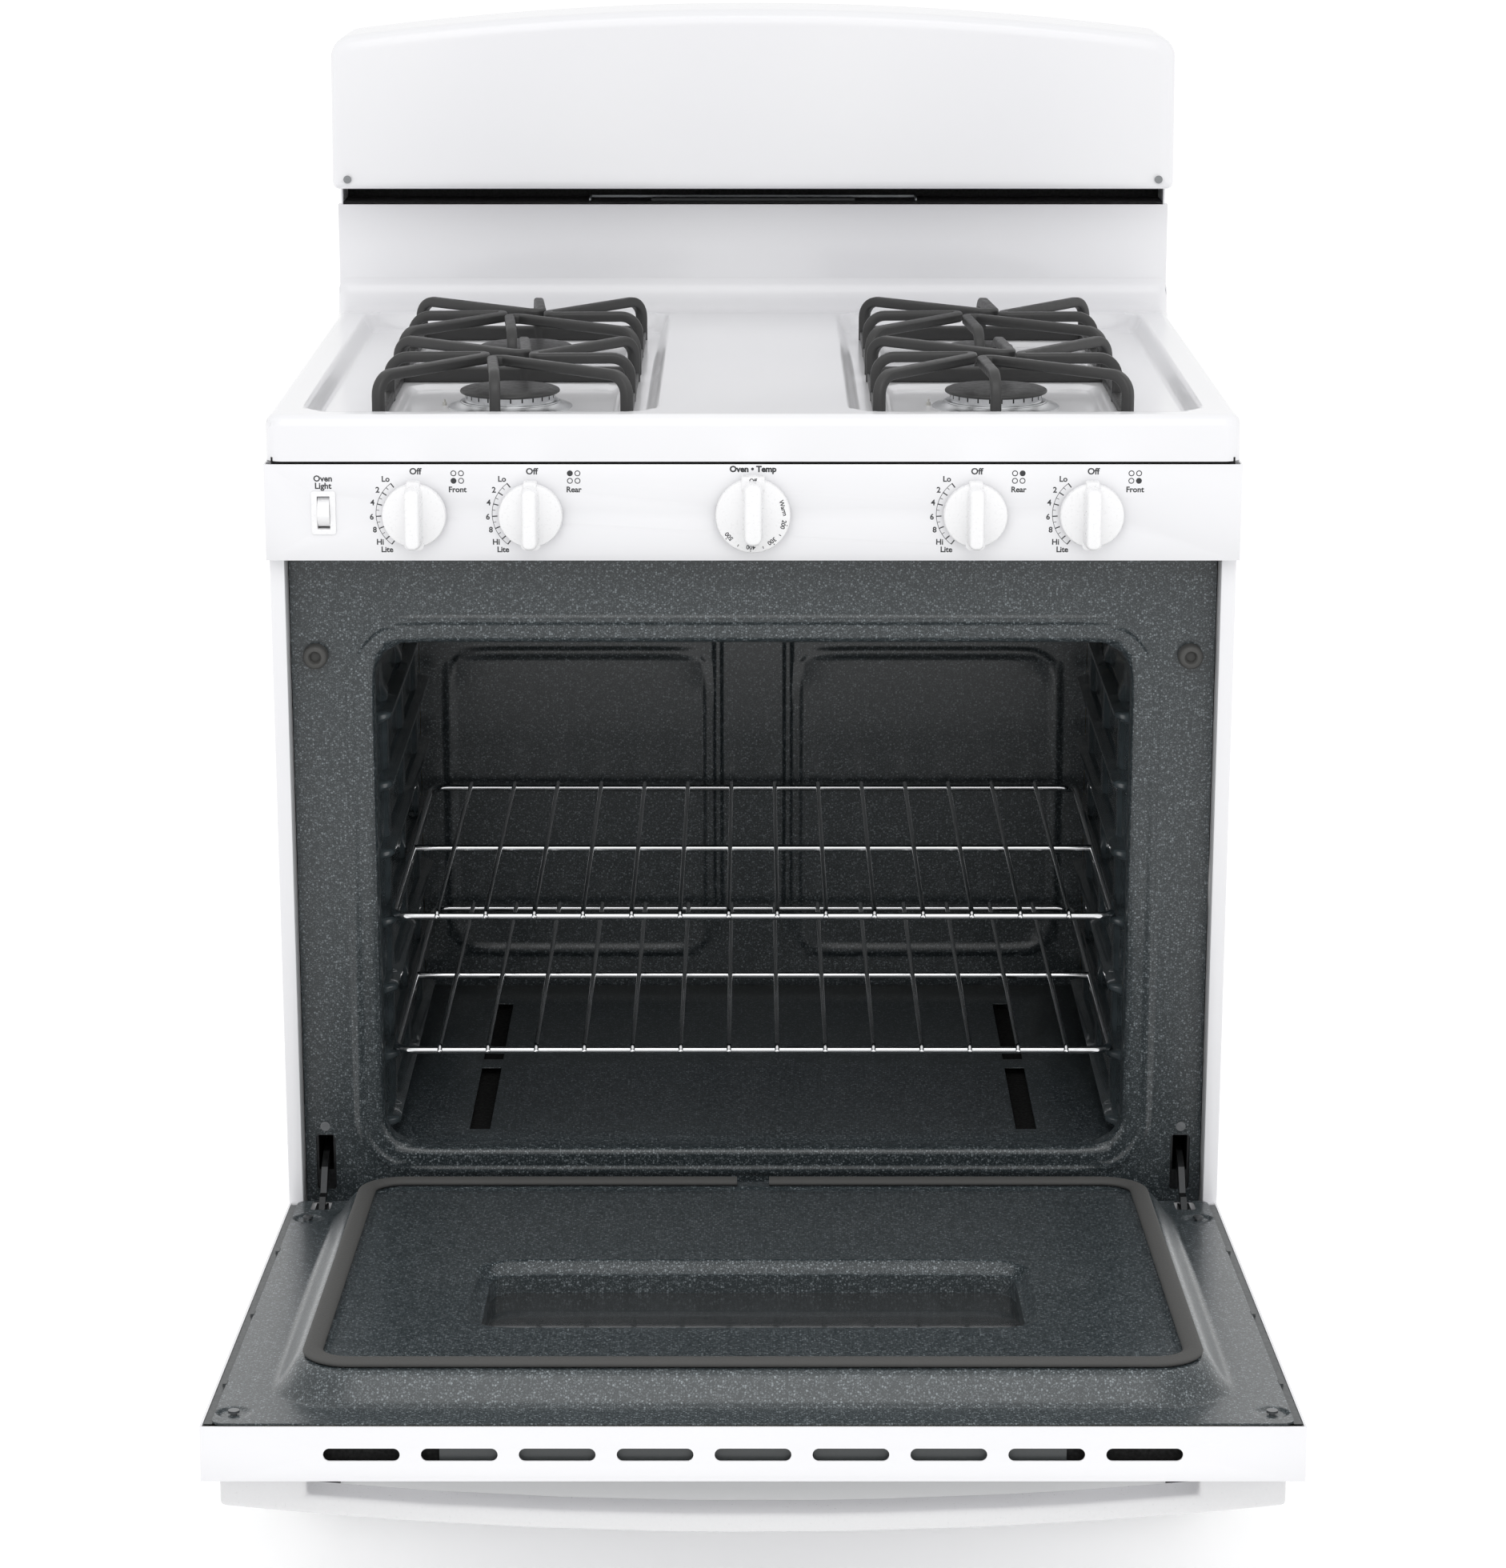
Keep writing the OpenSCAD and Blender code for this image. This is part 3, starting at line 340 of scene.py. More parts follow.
NODE_FINISH = {
    "enamel": ("side_panel_left", "side_panel_right", "cooktop", "splash_panel", "backguard",
               "control_panel", "door_pan", "drawer", "door_handle"),
    "knob": ("burner_knob_1", "burner_knob_2", "burner_knob_3", "burner_knob_4", "oven_knob",
             "light_switch", "switch_housing"),
    "speckled": ("front_frame", "oven_liner_sides", "oven_liner_top", "oven_liner_back",
                 "oven_bottom", "door_liner"),
    "grate": ("burner_caps", "grate_front_left", "grate_rear_left", "grate_front_right",
              "grate_rear_right"),
    "chrome": ("upper_rack", "lower_rack"),
    "aluminium": ("burner_heads", "burner_tubes", "gas_regulator", "manifold_pipe"),
    "galvanised": ("back_panel", "base_frame", "vent_duct", "flame_spreader", "drawer_rails",
                   "oven_burner"),
    "hinge": ("hinge_receivers", "hinge_claws", "hinge_arms"),
    "plated": ("frame_screws", "door_screws"),
    "brass": ("burner_valves", "oven_thermostat", "valve_plug_1", "valve_plug_2",
              "valve_plug_3", "valve_plug_4", "thermostat_plug"),
    "rope": ("door_gasket",),
    "wool": ("oven_insulation", "door_insulation"),
    "window": ("door_glass",),
    "lamp": ("oven_lamp",),
    "nylon": ("leveling_feet", "spark_module"),
    "rubber": ("door_bumpers",),
    "ceramic": ("spark_electrodes",),
}


def in_scene(name, data):
    """Puts a new object with this data in the scene."""
    obj = bpy.data.objects.new(name, data)
    bpy.context.scene.collection.objects.link(obj)
    return obj


def as_mesh(name, bm):
    """Ends a drawn shape as mesh data."""
    mesh = bpy.data.meshes.new(name)
    bm.to_mesh(mesh)
    bm.free()
    return mesh


def plain_mesh(obj):
    """Keeps what an object looks like with its modifiers as a plain mesh, and removes the object."""
    graph = bpy.context.evaluated_depsgraph_get()
    mesh = bpy.data.meshes.new_from_object(obj.evaluated_get(graph))
    obj.modifiers.clear()
    bpy.data.objects.remove(obj)
    return mesh


def settle(name, mesh, finish, body, stands_for=(), angle=38):
    """Makes the mesh, already in place in metres, a piece of the range that rides on a body."""
    mesh.materials.clear()
    mesh.materials.append(FINISH[finish])
    mesh.shade_smooth()
    mesh.set_sharp_from_angle(angle=math.radians(angle))
    obj = in_scene(name, mesh)
    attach(obj, body)
    if stands_for:
        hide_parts(*stands_for)


def to_mesh(name, bm, place):
    """Ends a shape drawn in millimetres: merges its seams and puts it in its place."""
    bmesh.ops.remove_doubles(bm, verts=bm.verts, dist=0.001)
    bmesh.ops.dissolve_degenerate(bm, edges=bm.edges, dist=0.0005)
    bm.transform(place)
    return as_mesh(name, bm)


def piece(name, bm, place, finish, body, stands_for=(), angle=38):
    """Makes a shape drawn in millimetres a piece of the range."""
    settle(name, to_mesh(name, bm, place), finish, body, stands_for, angle)


def closed(bm):
    """Points a closed shape's faces outwards."""
    bmesh.ops.remove_doubles(bm, verts=bm.verts, dist=0.001)
    bmesh.ops.recalc_face_normals(bm, faces=bm.faces)
    return bm


def slab(bm, centre, size):
    """Adds a block of the given size about its centre."""
    bmesh.ops.create_cube(bm, size=1, matrix=Matrix.Translation(centre) @ Matrix.Diagonal((*size, 1)))


def blocks(name, boxes, place, finish, body):
    """Makes one piece of plain blocks, each given by its centre and its size."""
    bm = bmesh.new()
    for centre, size in boxes:
        slab(bm, centre, size)
    piece(name, bm, place, finish, body)


def loft(bm, loops, caps=(True, True), ring=True):
    """Skins a row of loops that have the same number of points."""
    rows = [[bm.verts.new(p) for p in loop] for loop in loops]
    n = len(rows[0])
    for a, b in zip(rows, rows[1:]):
        for i in range(n if ring else n - 1):
            j = (i + 1) % n
            bm.faces.new((a[i], a[j], b[j], b[i]))
    if caps[0]:
        bm.faces.new(rows[0][::-1])
    if caps[1]:
        bm.faces.new(rows[-1])
    return bm


def arc(centre, radius, start, end, steps, flat=1.0):
    """Points along an arc from one angle to another, in degrees; flat squeezes its height."""
    turns = [math.radians(start + (end - start) * k / steps) for k in range(steps + 1)]
    return [(centre[0] + radius * math.cos(a), centre[1] + radius * flat * math.sin(a)) for a in turns]


def circle(centre, radius, steps, flat=1.0):
    """Points round a circle; flat squeezes its height."""
    return arc(centre, radius, 0, 360, steps, flat)[:-1]


def rounded_loop(w, h, r, steps=6, centre=(0, 0)):
    """Points round a rectangle with rounded corners."""
    r = min(r, w / 2, h / 2)
    out = []
    for k, (sx, sy) in enumerate(((1, 1), (-1, 1), (-1, -1), (1, -1))):
        corner = (centre[0] + sx * (w / 2 - r), centre[1] + sy * (h / 2 - r))
        out += arc(corner, r, 90 * k, 90 * k + 90, steps)
    return out


def lathe(bm, profile, centre, axis="z", steps=64):
    """Turns a profile of (radius, height) points round an upright or a level axis."""
    loops = []
    for radius, height in profile:
        around = circle(centre, radius, steps)
        loops.append([(u, v, height) if axis == "z" else (u, height, v) for u, v in around])
    return loft(bm, loops, (False, False))


def soft_path(points, radii, steps):
    """Rounds the corners of a path by arcs."""
    points = [Vector(p) for p in points]
    out = [points[0]]
    for i in range(1, len(points) - 1):
        a, p, b = points[i - 1], points[i], points[i + 1]
        u, v = (a - p).normalized(), (b - p).normalized()
        half = u.angle(v) / 2
        cut = min(radii[i - 1] / math.tan(half), (a - p).length * 0.45, (b - p).length * 0.45)
        r = cut * math.tan(half)
        centre = p + (u + v).normalized() * (r / math.sin(half))
        start, end = p + u * cut - centre, p + v * cut - centre
        turn = start.angle(end)
        for k in range(steps + 1):
            t = k / steps
            arc = start * math.sin((1 - t) * turn) + end * math.sin(t * turn)
            out.append(centre + arc / math.sin(turn))
    return out + [points[-1]]


def sweep(bm, path, section, up=(0, 0, 1), ring=False):
    """Carries a section of (side, up) points along a path without twisting it."""
    path = [Vector(p) for p in path]
    n = len(path)
    up = Vector(up)
    loops = []
    for i, p in enumerate(path):
        before = path[(i - 1) % n] if ring or i else p
        after = path[(i + 1) % n] if ring or i < n - 1 else p
        along = (after - before).normalized()
        up = (up - along * up.dot(along)).normalized()
        side = along.cross(up)
        loops.append([p + side * s + up * t for s, t in section])
    if ring:
        loops.append(loops[0])
    return loft(bm, loops, (not ring, not ring))


def region(u, v, box):
    """Signed distance to a rounded rectangle given by middle, width, height and radius."""
    cu, cv, w, h, r = box
    a, b = abs(u - cu) - w / 2 + r, abs(v - cv) - h / 2 + r
    return math.hypot(max(a, 0), max(b, 0)) + min(max(a, b), 0) - r


def ease(x, low, high):
    """Runs smoothly from 0 at low to 1 at high."""
    t = min(max((x - low) / (high - low), 0), 1)
    return t * t * (3 - 2 * t)


def edges(middle, width, beyond=(0,)):
    """Both edges of a span, or lines at some distances beyond them."""
    return [middle + s * (width / 2 + b) for s in (-1, 1) for b in beyond]


def grid_lines(marks, fine, coarse, reach):
    """Lines across a sheet, close together near each mark."""
    out = []
    marks = sorted(set(marks))
    for a, b in zip(marks, marks[1:]):
        near = min(reach, (b - a) / 2)
        n = max(1, math.ceil(near / fine))
        out += [a + near * k / n for k in range(n)]
        if b - a > 2 * near:
            m = math.ceil((b - a - 2 * near) / coarse)
            out += [a + near + (b - a - 2 * near) * k / m for k in range(m)]
        out += [b - near + near * k / n for k in range(n)]
    return out + [marks[-1]]


def pressed_sheet(us, vs, height, place, outline, holes=(), outward=(0, 0, 1)):
    """A sheet pressed to height(u, v), trimmed to an outline and pierced by holes."""
    bm = bmesh.new()

    def trimmed(u, v):
        for box, sign in ((outline, 1), *((h, -1) for h in holes)):
            off = region(u, v, box)
            if off * sign > 1e-6:
                e = 0.01
                gu = (region(u + e, v, box) - region(u - e, v, box)) / (2 * e)
                gv = (region(u, v + e, box) - region(u, v - e, box)) / (2 * e)
                u, v = u - off * gu, v - off * gv
        return u, v

    verts = {}

    def vert(i, j):
        if (i, j) not in verts:
            u, v = trimmed(us[i], vs[j])
            verts[i, j] = bm.verts.new(place(u, v, height(u, v)))
        return verts[i, j]

    for i in range(len(us) - 1):
        for j in range(len(vs) - 1):
            ring = ((i, j), (i + 1, j), (i + 1, j + 1), (i, j + 1))
            if any(all(region(us[a], vs[b], h) < 1e-6 for a, b in ring) for h in holes):
                continue
            bm.faces.new([vert(a, b) for a, b in ring])
    bm.normal_update()
    if sum((f.normal * f.calc_area() for f in bm.faces), Vector()).dot(Vector(outward)) < 0:
        bmesh.ops.reverse_faces(bm, faces=bm.faces)
    return bm


def turn_rim(bm, pick, shift):
    """Folds the picked open edges of a sheet over by a shift."""
    rim = [e for e in bm.edges if e.is_boundary and all(pick(v.co) for v in e.verts)]
    new = bmesh.ops.extrude_edge_only(bm, edges=rim)["geom"]
    bmesh.ops.translate(bm, verts=[g for g in new if isinstance(g, bmesh.types.BMVert)], vec=shift)


def repeat_tree():
    """Geometry nodes that repeat a shape in a row, or turn it round an axis by even steps."""
    tree = bpy.data.node_groups.new("repeat_shape", "GeometryNodeTree")
    face = tree.interface
    face.new_socket("Geometry", in_out="INPUT", socket_type="NodeSocketGeometry")
    sockets = {}
    for name, kind in (("Count", "Int"), ("Step", "Vector"), ("First Turn", "Vector"),
                       ("Turn Step", "Vector"), ("Material", "Material")):
        sockets[name] = face.new_socket(name, in_out="INPUT", socket_type="NodeSocket" + kind).identifier
    face.new_socket("Geometry", in_out="OUTPUT", socket_type="NodeSocketGeometry")
    given = add_node(tree, "NodeGroupInput").outputs
    line = add_node(tree, "GeometryNodeMeshLine", {"Count": given["Count"], "Offset": given["Step"]})
    index = add_node(tree, "GeometryNodeInputIndex").outputs[0]
    turned = add_node(tree, "ShaderNodeVectorMath", {
        0: given["Turn Step"], "Scale": index}, operation="SCALE")
    angle = add_node(tree, "ShaderNodeVectorMath", {
        0: turned.outputs[0], 1: given["First Turn"]}, operation="ADD")
    spin = add_node(tree, "FunctionNodeEulerToRotation", {"Euler": angle.outputs[0]})
    row = add_node(tree, "GeometryNodeInstanceOnPoints", {
        "Points": line.outputs[0], "Instance": given["Geometry"], "Rotation": spin.outputs[0]})
    real = add_node(tree, "GeometryNodeRealizeInstances", {"Geometry": row.outputs[0]})
    painted = add_node(tree, "GeometryNodeSetMaterial", {
        "Geometry": real.outputs[0], "Material": given["Material"]})
    out = add_node(tree, "NodeGroupOutput")
    tree.links.new(painted.outputs[0], out.inputs[0])
    return tree, sockets


def repeated(name, bm, finish, count=1, step=(0, 0, 0), first_turn=(0, 0, 0), turn_step=(0, 0, 0),
             start=(0, 0, 0)):
    """Repeats a shape drawn in millimetres through the geometry nodes; gives the plain mesh."""
    obj = in_scene(name, as_mesh(name, bm))
    tree, sockets = REPEAT
    modifier = obj.modifiers.new("repeat", "NODES")
    modifier.node_group = tree
    values = {"Count": count, "Step": step, "First Turn": [math.radians(a) for a in first_turn],
              "Turn Step": [math.radians(a) for a in turn_step], "Material": FINISH[finish]}
    for key, value in values.items():
        modifier[sockets[key]] = value
    mesh = plain_mesh(obj)
    mesh.transform(BODY @ Matrix.Translation(start))
    return mesh


def joined(name, meshes):
    """Puts several meshes into one."""
    bm = bmesh.new()
    for mesh in meshes:
        bm.from_mesh(mesh)
        bpy.data.meshes.remove(mesh)
    return as_mesh(name, bm)


def softened(node, finish, body, radius, steps=3):
    """A copy of a frame part with its hard edges rolled to a small radius, in millimetres."""
    bm = bmesh.new()
    bm.from_mesh(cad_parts[node].data)
    bmesh.ops.remove_doubles(bm, verts=bm.verts, dist=1e-6)
    bmesh.ops.dissolve_limit(bm, angle_limit=math.radians(1), verts=bm.verts, edges=bm.edges)
    obj = in_scene(node + "_edges", as_mesh(node, bm))
    roll = obj.modifiers.new("edges", "BEVEL")
    roll.width = radius / 1000
    roll.segments = steps
    roll.limit_method = "ANGLE"
    roll.angle_limit = math.radians(40)
    roll.use_clamp_overlap = True
    settle(node + "_rolled", plain_mesh(obj), finish, body, (node,))


def lettering(text, size, x, z, d, turn=0.0, radius=0.0, weight=0.0):
    """A word as a flat mesh that faces forwards; turned round a dial by turn degrees at a radius."""
    curve = bpy.data.curves.new("word", "FONT")
    curve.body = text
    curve.size = size
    curve.align_x = curve.align_y = "CENTER"
    curve.offset = weight
    curve.resolution_u = 3
    mesh = plain_mesh(in_scene("word", curve))
    mesh.transform(
        BODY @ Matrix.Translation((x, d, z)) @ Matrix.Rotation(math.radians(turn), 4, "Y")
        @ Matrix.Translation((0, 0, radius)) @ Matrix.Rotation(math.pi / 2, 4, "X"))
    return mesh


def flat_ring(bm, x, z, d, outer, inner=0.0):
    """A printed ring or dot that faces forwards."""
    rings = [[(u, d, v) for u, v in circle((x, z), radius, 20)] for radius in (outer, inner)]
    if inner:
        loft(bm, rings, (False, False))
    else:
        bm.faces.new([bm.verts.new(p) for p in rings[0]])


def flat_tick(half, inner, outer):
    """A printed stroke that faces forwards and points up, from an inner to an outer radius."""
    bm = bmesh.new()
    bm.faces.new([bm.verts.new(c) for c in (
        (-half, 0, inner), (half, 0, inner), (half, 0, outer), (-half, 0, outer))])
    return bm


# ---- the pieces ----


class GASRANGE_OT_finishes(bpy.types.Operator):
    """Make the finishes and give each frame part its own"""

    bl_idname = "gasrange.finishes"
    bl_label = "Finishes"

    def execute(self, context):
        global REPEAT
        make_finishes(context.scene.range_colours)
        REPEAT = repeat_tree()
        for finish, nodes in NODE_FINISH.items():
            for node in nodes:
                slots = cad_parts[node].data.materials
                slots.clear()
                slots.append(FINISH[finish])
        return {"FINISHED"}


class GASRANGE_OT_sheets(bpy.types.Operator):
    """Roll the edges of the enamelled sheet parts"""

    bl_idname = "gasrange.sheets"
    bl_label = "Enamelled sheets"

    def execute(self, context):
        for node, radius in (("control_panel", 1.0), ("splash_panel", 0.7), ("side_panel_left", 0.7),
                             ("side_panel_right", 0.7)):
            softened(node, "enamel", "range_body", radius)
        softened("door_pan", "enamel", "oven_door", 1.2)
        softened("drawer", "enamel", "drawer_body", 1.2)
        # the oven's floor takes the enamel's lighter copy, painted light
        softened("oven_bottom", "inner", "range_body", 0.5)
        return {"FINISHED"}


class GASRANGE_OT_cooktop(bpy.types.Operator):
    """Press the cooktop with its two wells, its burner recesses and its cove"""

    bl_idname = "gasrange.cooktop"
    bl_label = "Cooktop"

    def execute(self, context):
        edge = 9  # roll of the outer edge
        outline = (0, 320, BODY_W, 640, 14)
        well_x, well_d, well_w, well_deep = 213.75, 297, 275.5, 550
        wells = [(s * well_x, well_d, well_w, well_deep, 30) for s in (-1, 1)]
        recess_w = 178
        recesses = [(x, d, recess_w, recess_w, 24) for x, d, _ in BURNERS]
        cove = SPLASH_D - COVE_R

        def height(u, v):
            z = RIM_Z
            near = max(0, -region(u, v, outline))
            if near < edge:
                z -= edge - math.sqrt(edge * edge - (edge - near) ** 2)
            for well in wells:
                z -= (RIM_Z - WELL_Z) * ease(-region(u, v, well), -2, 9)
            for recess in recesses:
                z -= (WELL_Z - RECESS_Z) * ease(-region(u, v, recess), -1, 5)
            rise = v - cove
            if rise > 0:
                z += COVE_R - math.sqrt(max(COVE_R ** 2 - rise ** 2, 0))
            return z

        us = grid_lines([*edges(0, BODY_W), *edges(-well_x, well_w), *edges(well_x, well_w),
                         *(m for x, _, _ in BURNERS for m in edges(x, recess_w))], 1.6, 16, 13)
        vs = grid_lines([0, well_d - well_deep / 2, cove,
                         *(m for _, d, _ in BURNERS for m in edges(d, recess_w))], 1.6, 16, 13)
        vs += [cove + up for _, up in arc((0, 0), COVE_R, 0, 90, 12)[1:]]
        bm = pressed_sheet(us, vs, height, lambda u, v, h: (u, v, h), outline)
        # a second row of points round the open edge becomes the lip's foot
        turn_rim(bm, lambda c: c.y < SPLASH_D - 0.1, (0, 0, 0))
        for v in bm.verts:
            if v.is_boundary and v.co.y < SPLASH_D - 0.1:
                v.co.z = LIP_Z
        piece("cooktop_pressing", bm, BODY, "enamel", "range_body", ("cooktop",), 50)
        return {"FINISHED"}


class GASRANGE_OT_burners(bpy.types.Operator):
    """Turn the burner heads with their ports, and their caps"""

    bl_idname = "gasrange.burners"
    bl_label = "Burners"

    def execute(self, context):
        caps, heads = bmesh.new(), bmesh.new()
        ports, tips = [], bmesh.new()
        for x, d, dia in BURNERS:
            r = dia / 2
            lathe(caps, [(0.01, CAP_Z - 4), (r - 8.3, CAP_Z - 4), (r - 8, CAP_Z - 0.1), (r - 1.2, CAP_Z),
                         (r - 0.2, CAP_Z + 0.6), (r, CAP_Z + 1.5), (r - 0.5, CAP_Z + 2.5),
                         (r - 2, CAP_Z + 3.2), (r - 8, CAP_Z + 4), (r * 0.6, CAP_Z + 4.6),
                         (r * 0.3, CAP_TOP - 0.1), (0.01, CAP_TOP)], (x, d), steps=72)
            lathe(heads, [(r - 20, 880), (r + 2, 900), (r + 10, RECESS_Z + 0.2), (r + 9.6, RECESS_Z + 0.7),
                          (r + 5.4, RECESS_Z + 1.5), (r + 2.2, RECESS_Z + 2.9), (r + 0.6, RECESS_Z + 4.4),
                          (r - 0.6, RECESS_Z + 4.6), (r - 1, RECESS_Z + 5.2), (r - 4, RECESS_Z + 5.4),
                          (r - 4.4, RECESS_Z + 6), (r - 4.4, CAP_Z - 0.5), (r - 4.9, CAP_Z),
                          (r - 7.6, CAP_Z)], (x, d), steps=72)
            # painted shade: a dark block in each port, for the unlit inside of the head
            port = bmesh.new()
            slab(port, (r - 4.5, 0, CAP_Z - 2), (0.5, 1.1, 3.6))
            ports.append(repeated("port", port, "shade", 24, turn_step=(0, 0, 15), first_turn=(0, 0, 4),
                                  start=(x, d, 0)))
            lathe(tips, [(0.01, RECESS_Z), (1.8, RECESS_Z), (1.8, RECESS_Z + 2.6), (0.7, RECESS_Z + 3),
                         (0.7, RECESS_Z + 5), (0.01, RECESS_Z + 5.2)], (x - r - 13, d + 4), "z", 16)
        piece("burner_caps_domed", closed(caps), BODY, "grate", "range_body", ("burner_caps",), 30)
        piece("burner_heads_turned", closed(heads), BODY, "aluminium", "range_body",
               ("burner_heads",), 30)
        settle("burner_port_shade", joined("burner_port_shade", ports), "shade", "range_body")
        piece("spark_tips", closed(tips), BODY, "ceramic", "range_body", ("spark_electrodes",), 40)
        return {"FINISHED"}


class GASRANGE_OT_grates(bpy.types.Operator):
    """Bend the four grates from square bar"""

    bl_idname = "gasrange.grates"
    bl_label = "Grates"

    def execute(self, context):
        w = context.scene.range_sizes.grate_bar * 1000
        bar = rounded_loop(w, w, 2.2, 3)
        top = GRATE_TOP - w / 2
        foot = WELL_Z + 0.3
        x, y = LEG_X, LEG_Y
        fingers = (((-x, y), (8, 16), (6, y)), ((-x, 2), (-20, 0), (-x, -y)),
                   ((x, y), (20, 0), (x, -2)), ((-6, -y), (-8, -16), (x, -y)))
        for (bx, bd, _), name in zip(BURNERS, BURNER_NAMES):
            bm = bmesh.new()
            for a, tip, b in fingers:
                across = Vector((b[0] - a[0], b[1] - a[1])).normalized() * 5
                path = soft_path(
                    [(bx + a[0], bd + a[1], foot), (bx + a[0], bd + a[1], top),
                     (bx + tip[0] - across.x, bd + tip[1] - across.y, top),
                     (bx + tip[0] + across.x, bd + tip[1] + across.y, top),
                     (bx + b[0], bd + b[1], top), (bx + b[0], bd + b[1], foot)], (15, 6, 6, 15), 8)
                sweep(bm, path, bar, up=(tip[0] - a[0] + 0.01, tip[1] - a[1], 0))
            for s, tall in ((-1, 4), (1, 12.5)):
                rail = rounded_loop(w - 0.6, tall, 1.8, 3)
                z = foot + tall / 2
                sweep(bm, [(bx - x, bd + s * y, z), (bx + x, bd + s * y, z)], rail)
                rail = rounded_loop(w - 0.6, 8, 1.8, 3)
                sweep(bm, [(bx + s * x, bd - y, foot + 4), (bx + s * x, bd + y, foot + 4)], rail)
            piece("grate_" + name + "_bars", closed(bm), BODY, "grate",
                   "grate_" + name + "_body", ("grate_" + name,), 50)
        return {"FINISHED"}


class GASRANGE_OT_backguard(bpy.types.Operator):
    """Form the arched backguard"""

    bl_idname = "gasrange.backguard"
    bl_label = "Backguard"

    def execute(self, context):
        lean = math.tan(math.radians(6))
        half, crown, corner = GUARD_HALF, 25, 20
        rise = GUARD_TOP - GUARD_LOW - 1.2
        r = (half * half + crown * crown) / (2 * crown)

        def outline(inset):
            w = half - inset
            c, foot = max(corner - inset, 4), max(6 - inset, 1)

            def arch(px):
                return rise - inset - r + math.sqrt(r * r - px * px)

            side = arch(w - c) - c
            return [
                *arc((w - foot, inset + foot), foot, 270, 360, 4),
                *arc((w - c, side), c, 0, 87, 8),
                *((px, arch(px)) for px in ((w - c) * (1 - k / 20) for k in range(1, 40))),
                *arc((-w + c, side), c, 93, 180, 8),
                *arc((-w + foot, inset + foot), foot, 180, 270, 4),
            ]

        loops = []
        for inset, depth in ((14, 0), (7, 0.1), (4, 0.9), (1.8, 2.4), (0.5, 4.8), (0, 8)):
            loops.append([(x, GUARD_D + depth + z * lean, GUARD_LOW + z) for x, z in outline(inset)])
        loops.append([(x, BACK_D, GUARD_LOW + z) for x, z in outline(0)])
        bm = loft(bmesh.new(), loops)
        piece("backguard_shell", closed(bm), BODY, "enamel", "range_body", ("backguard",), 40)
        return {"FINISHED"}


class GASRANGE_OT_front_frame(bpy.types.Operator):
    """Press the frame round the oven's mouth"""

    bl_idname = "gasrange.front_frame"
    bl_label = "Front frame"

    def execute(self, context):
        slot_z, slot_h = PIVOT_Z + 32, 48
        slots = [(s * HINGE_X, slot_z, SLOT_W, slot_h, 3) for s in (-1, 1)]
        outline = (0, (FRAME_LOW + FRAME_TOP) / 2, 2 * FRAME_X, FRAME_TOP - FRAME_LOW, 1)
        lines = (0, 15.5, 23.5)  # the mouth's edge and the two sides of the raised ring round it

        def height(u, v):
            off = region(u, v, MOUTH)
            out = 1.5 * ease(off, 15, 18) * (1 - ease(off, 21, 24))
            if off < 6:
                out -= 6 - math.sqrt(max(36 - (6 - max(off, 0)) ** 2, 0))
            return out

        us = grid_lines([*edges(0, 2 * FRAME_X), *edges(0, MOUTH[2], lines), *edges(HINGE_X, SLOT_W),
                         *edges(-HINGE_X, SLOT_W)], 1.5, 14, 9)
        vs = grid_lines([FRAME_LOW, FRAME_TOP, *edges(MOUTH[1], MOUTH[3], lines), *edges(slot_z, slot_h)],
                        1.5, 14, 9)
        bm = pressed_sheet(us, vs, height, lambda u, v, h: (u, FRAME_D - h, v), outline, [MOUTH, *slots],
                           (0, -1, 0))
        turn_rim(bm, lambda c: region(c.x, c.z, MOUTH) < 0.5, (0, 10, 0))
        turn_rim(bm, lambda c: abs(abs(c.x) - HINGE_X) < 9 and abs(c.z - slot_z) < 25.5, (0, 4, 0))
        piece("front_frame_pressing", bm, BODY, "speckled", "range_body", ("front_frame",), 45)
        return {"FINISHED"}


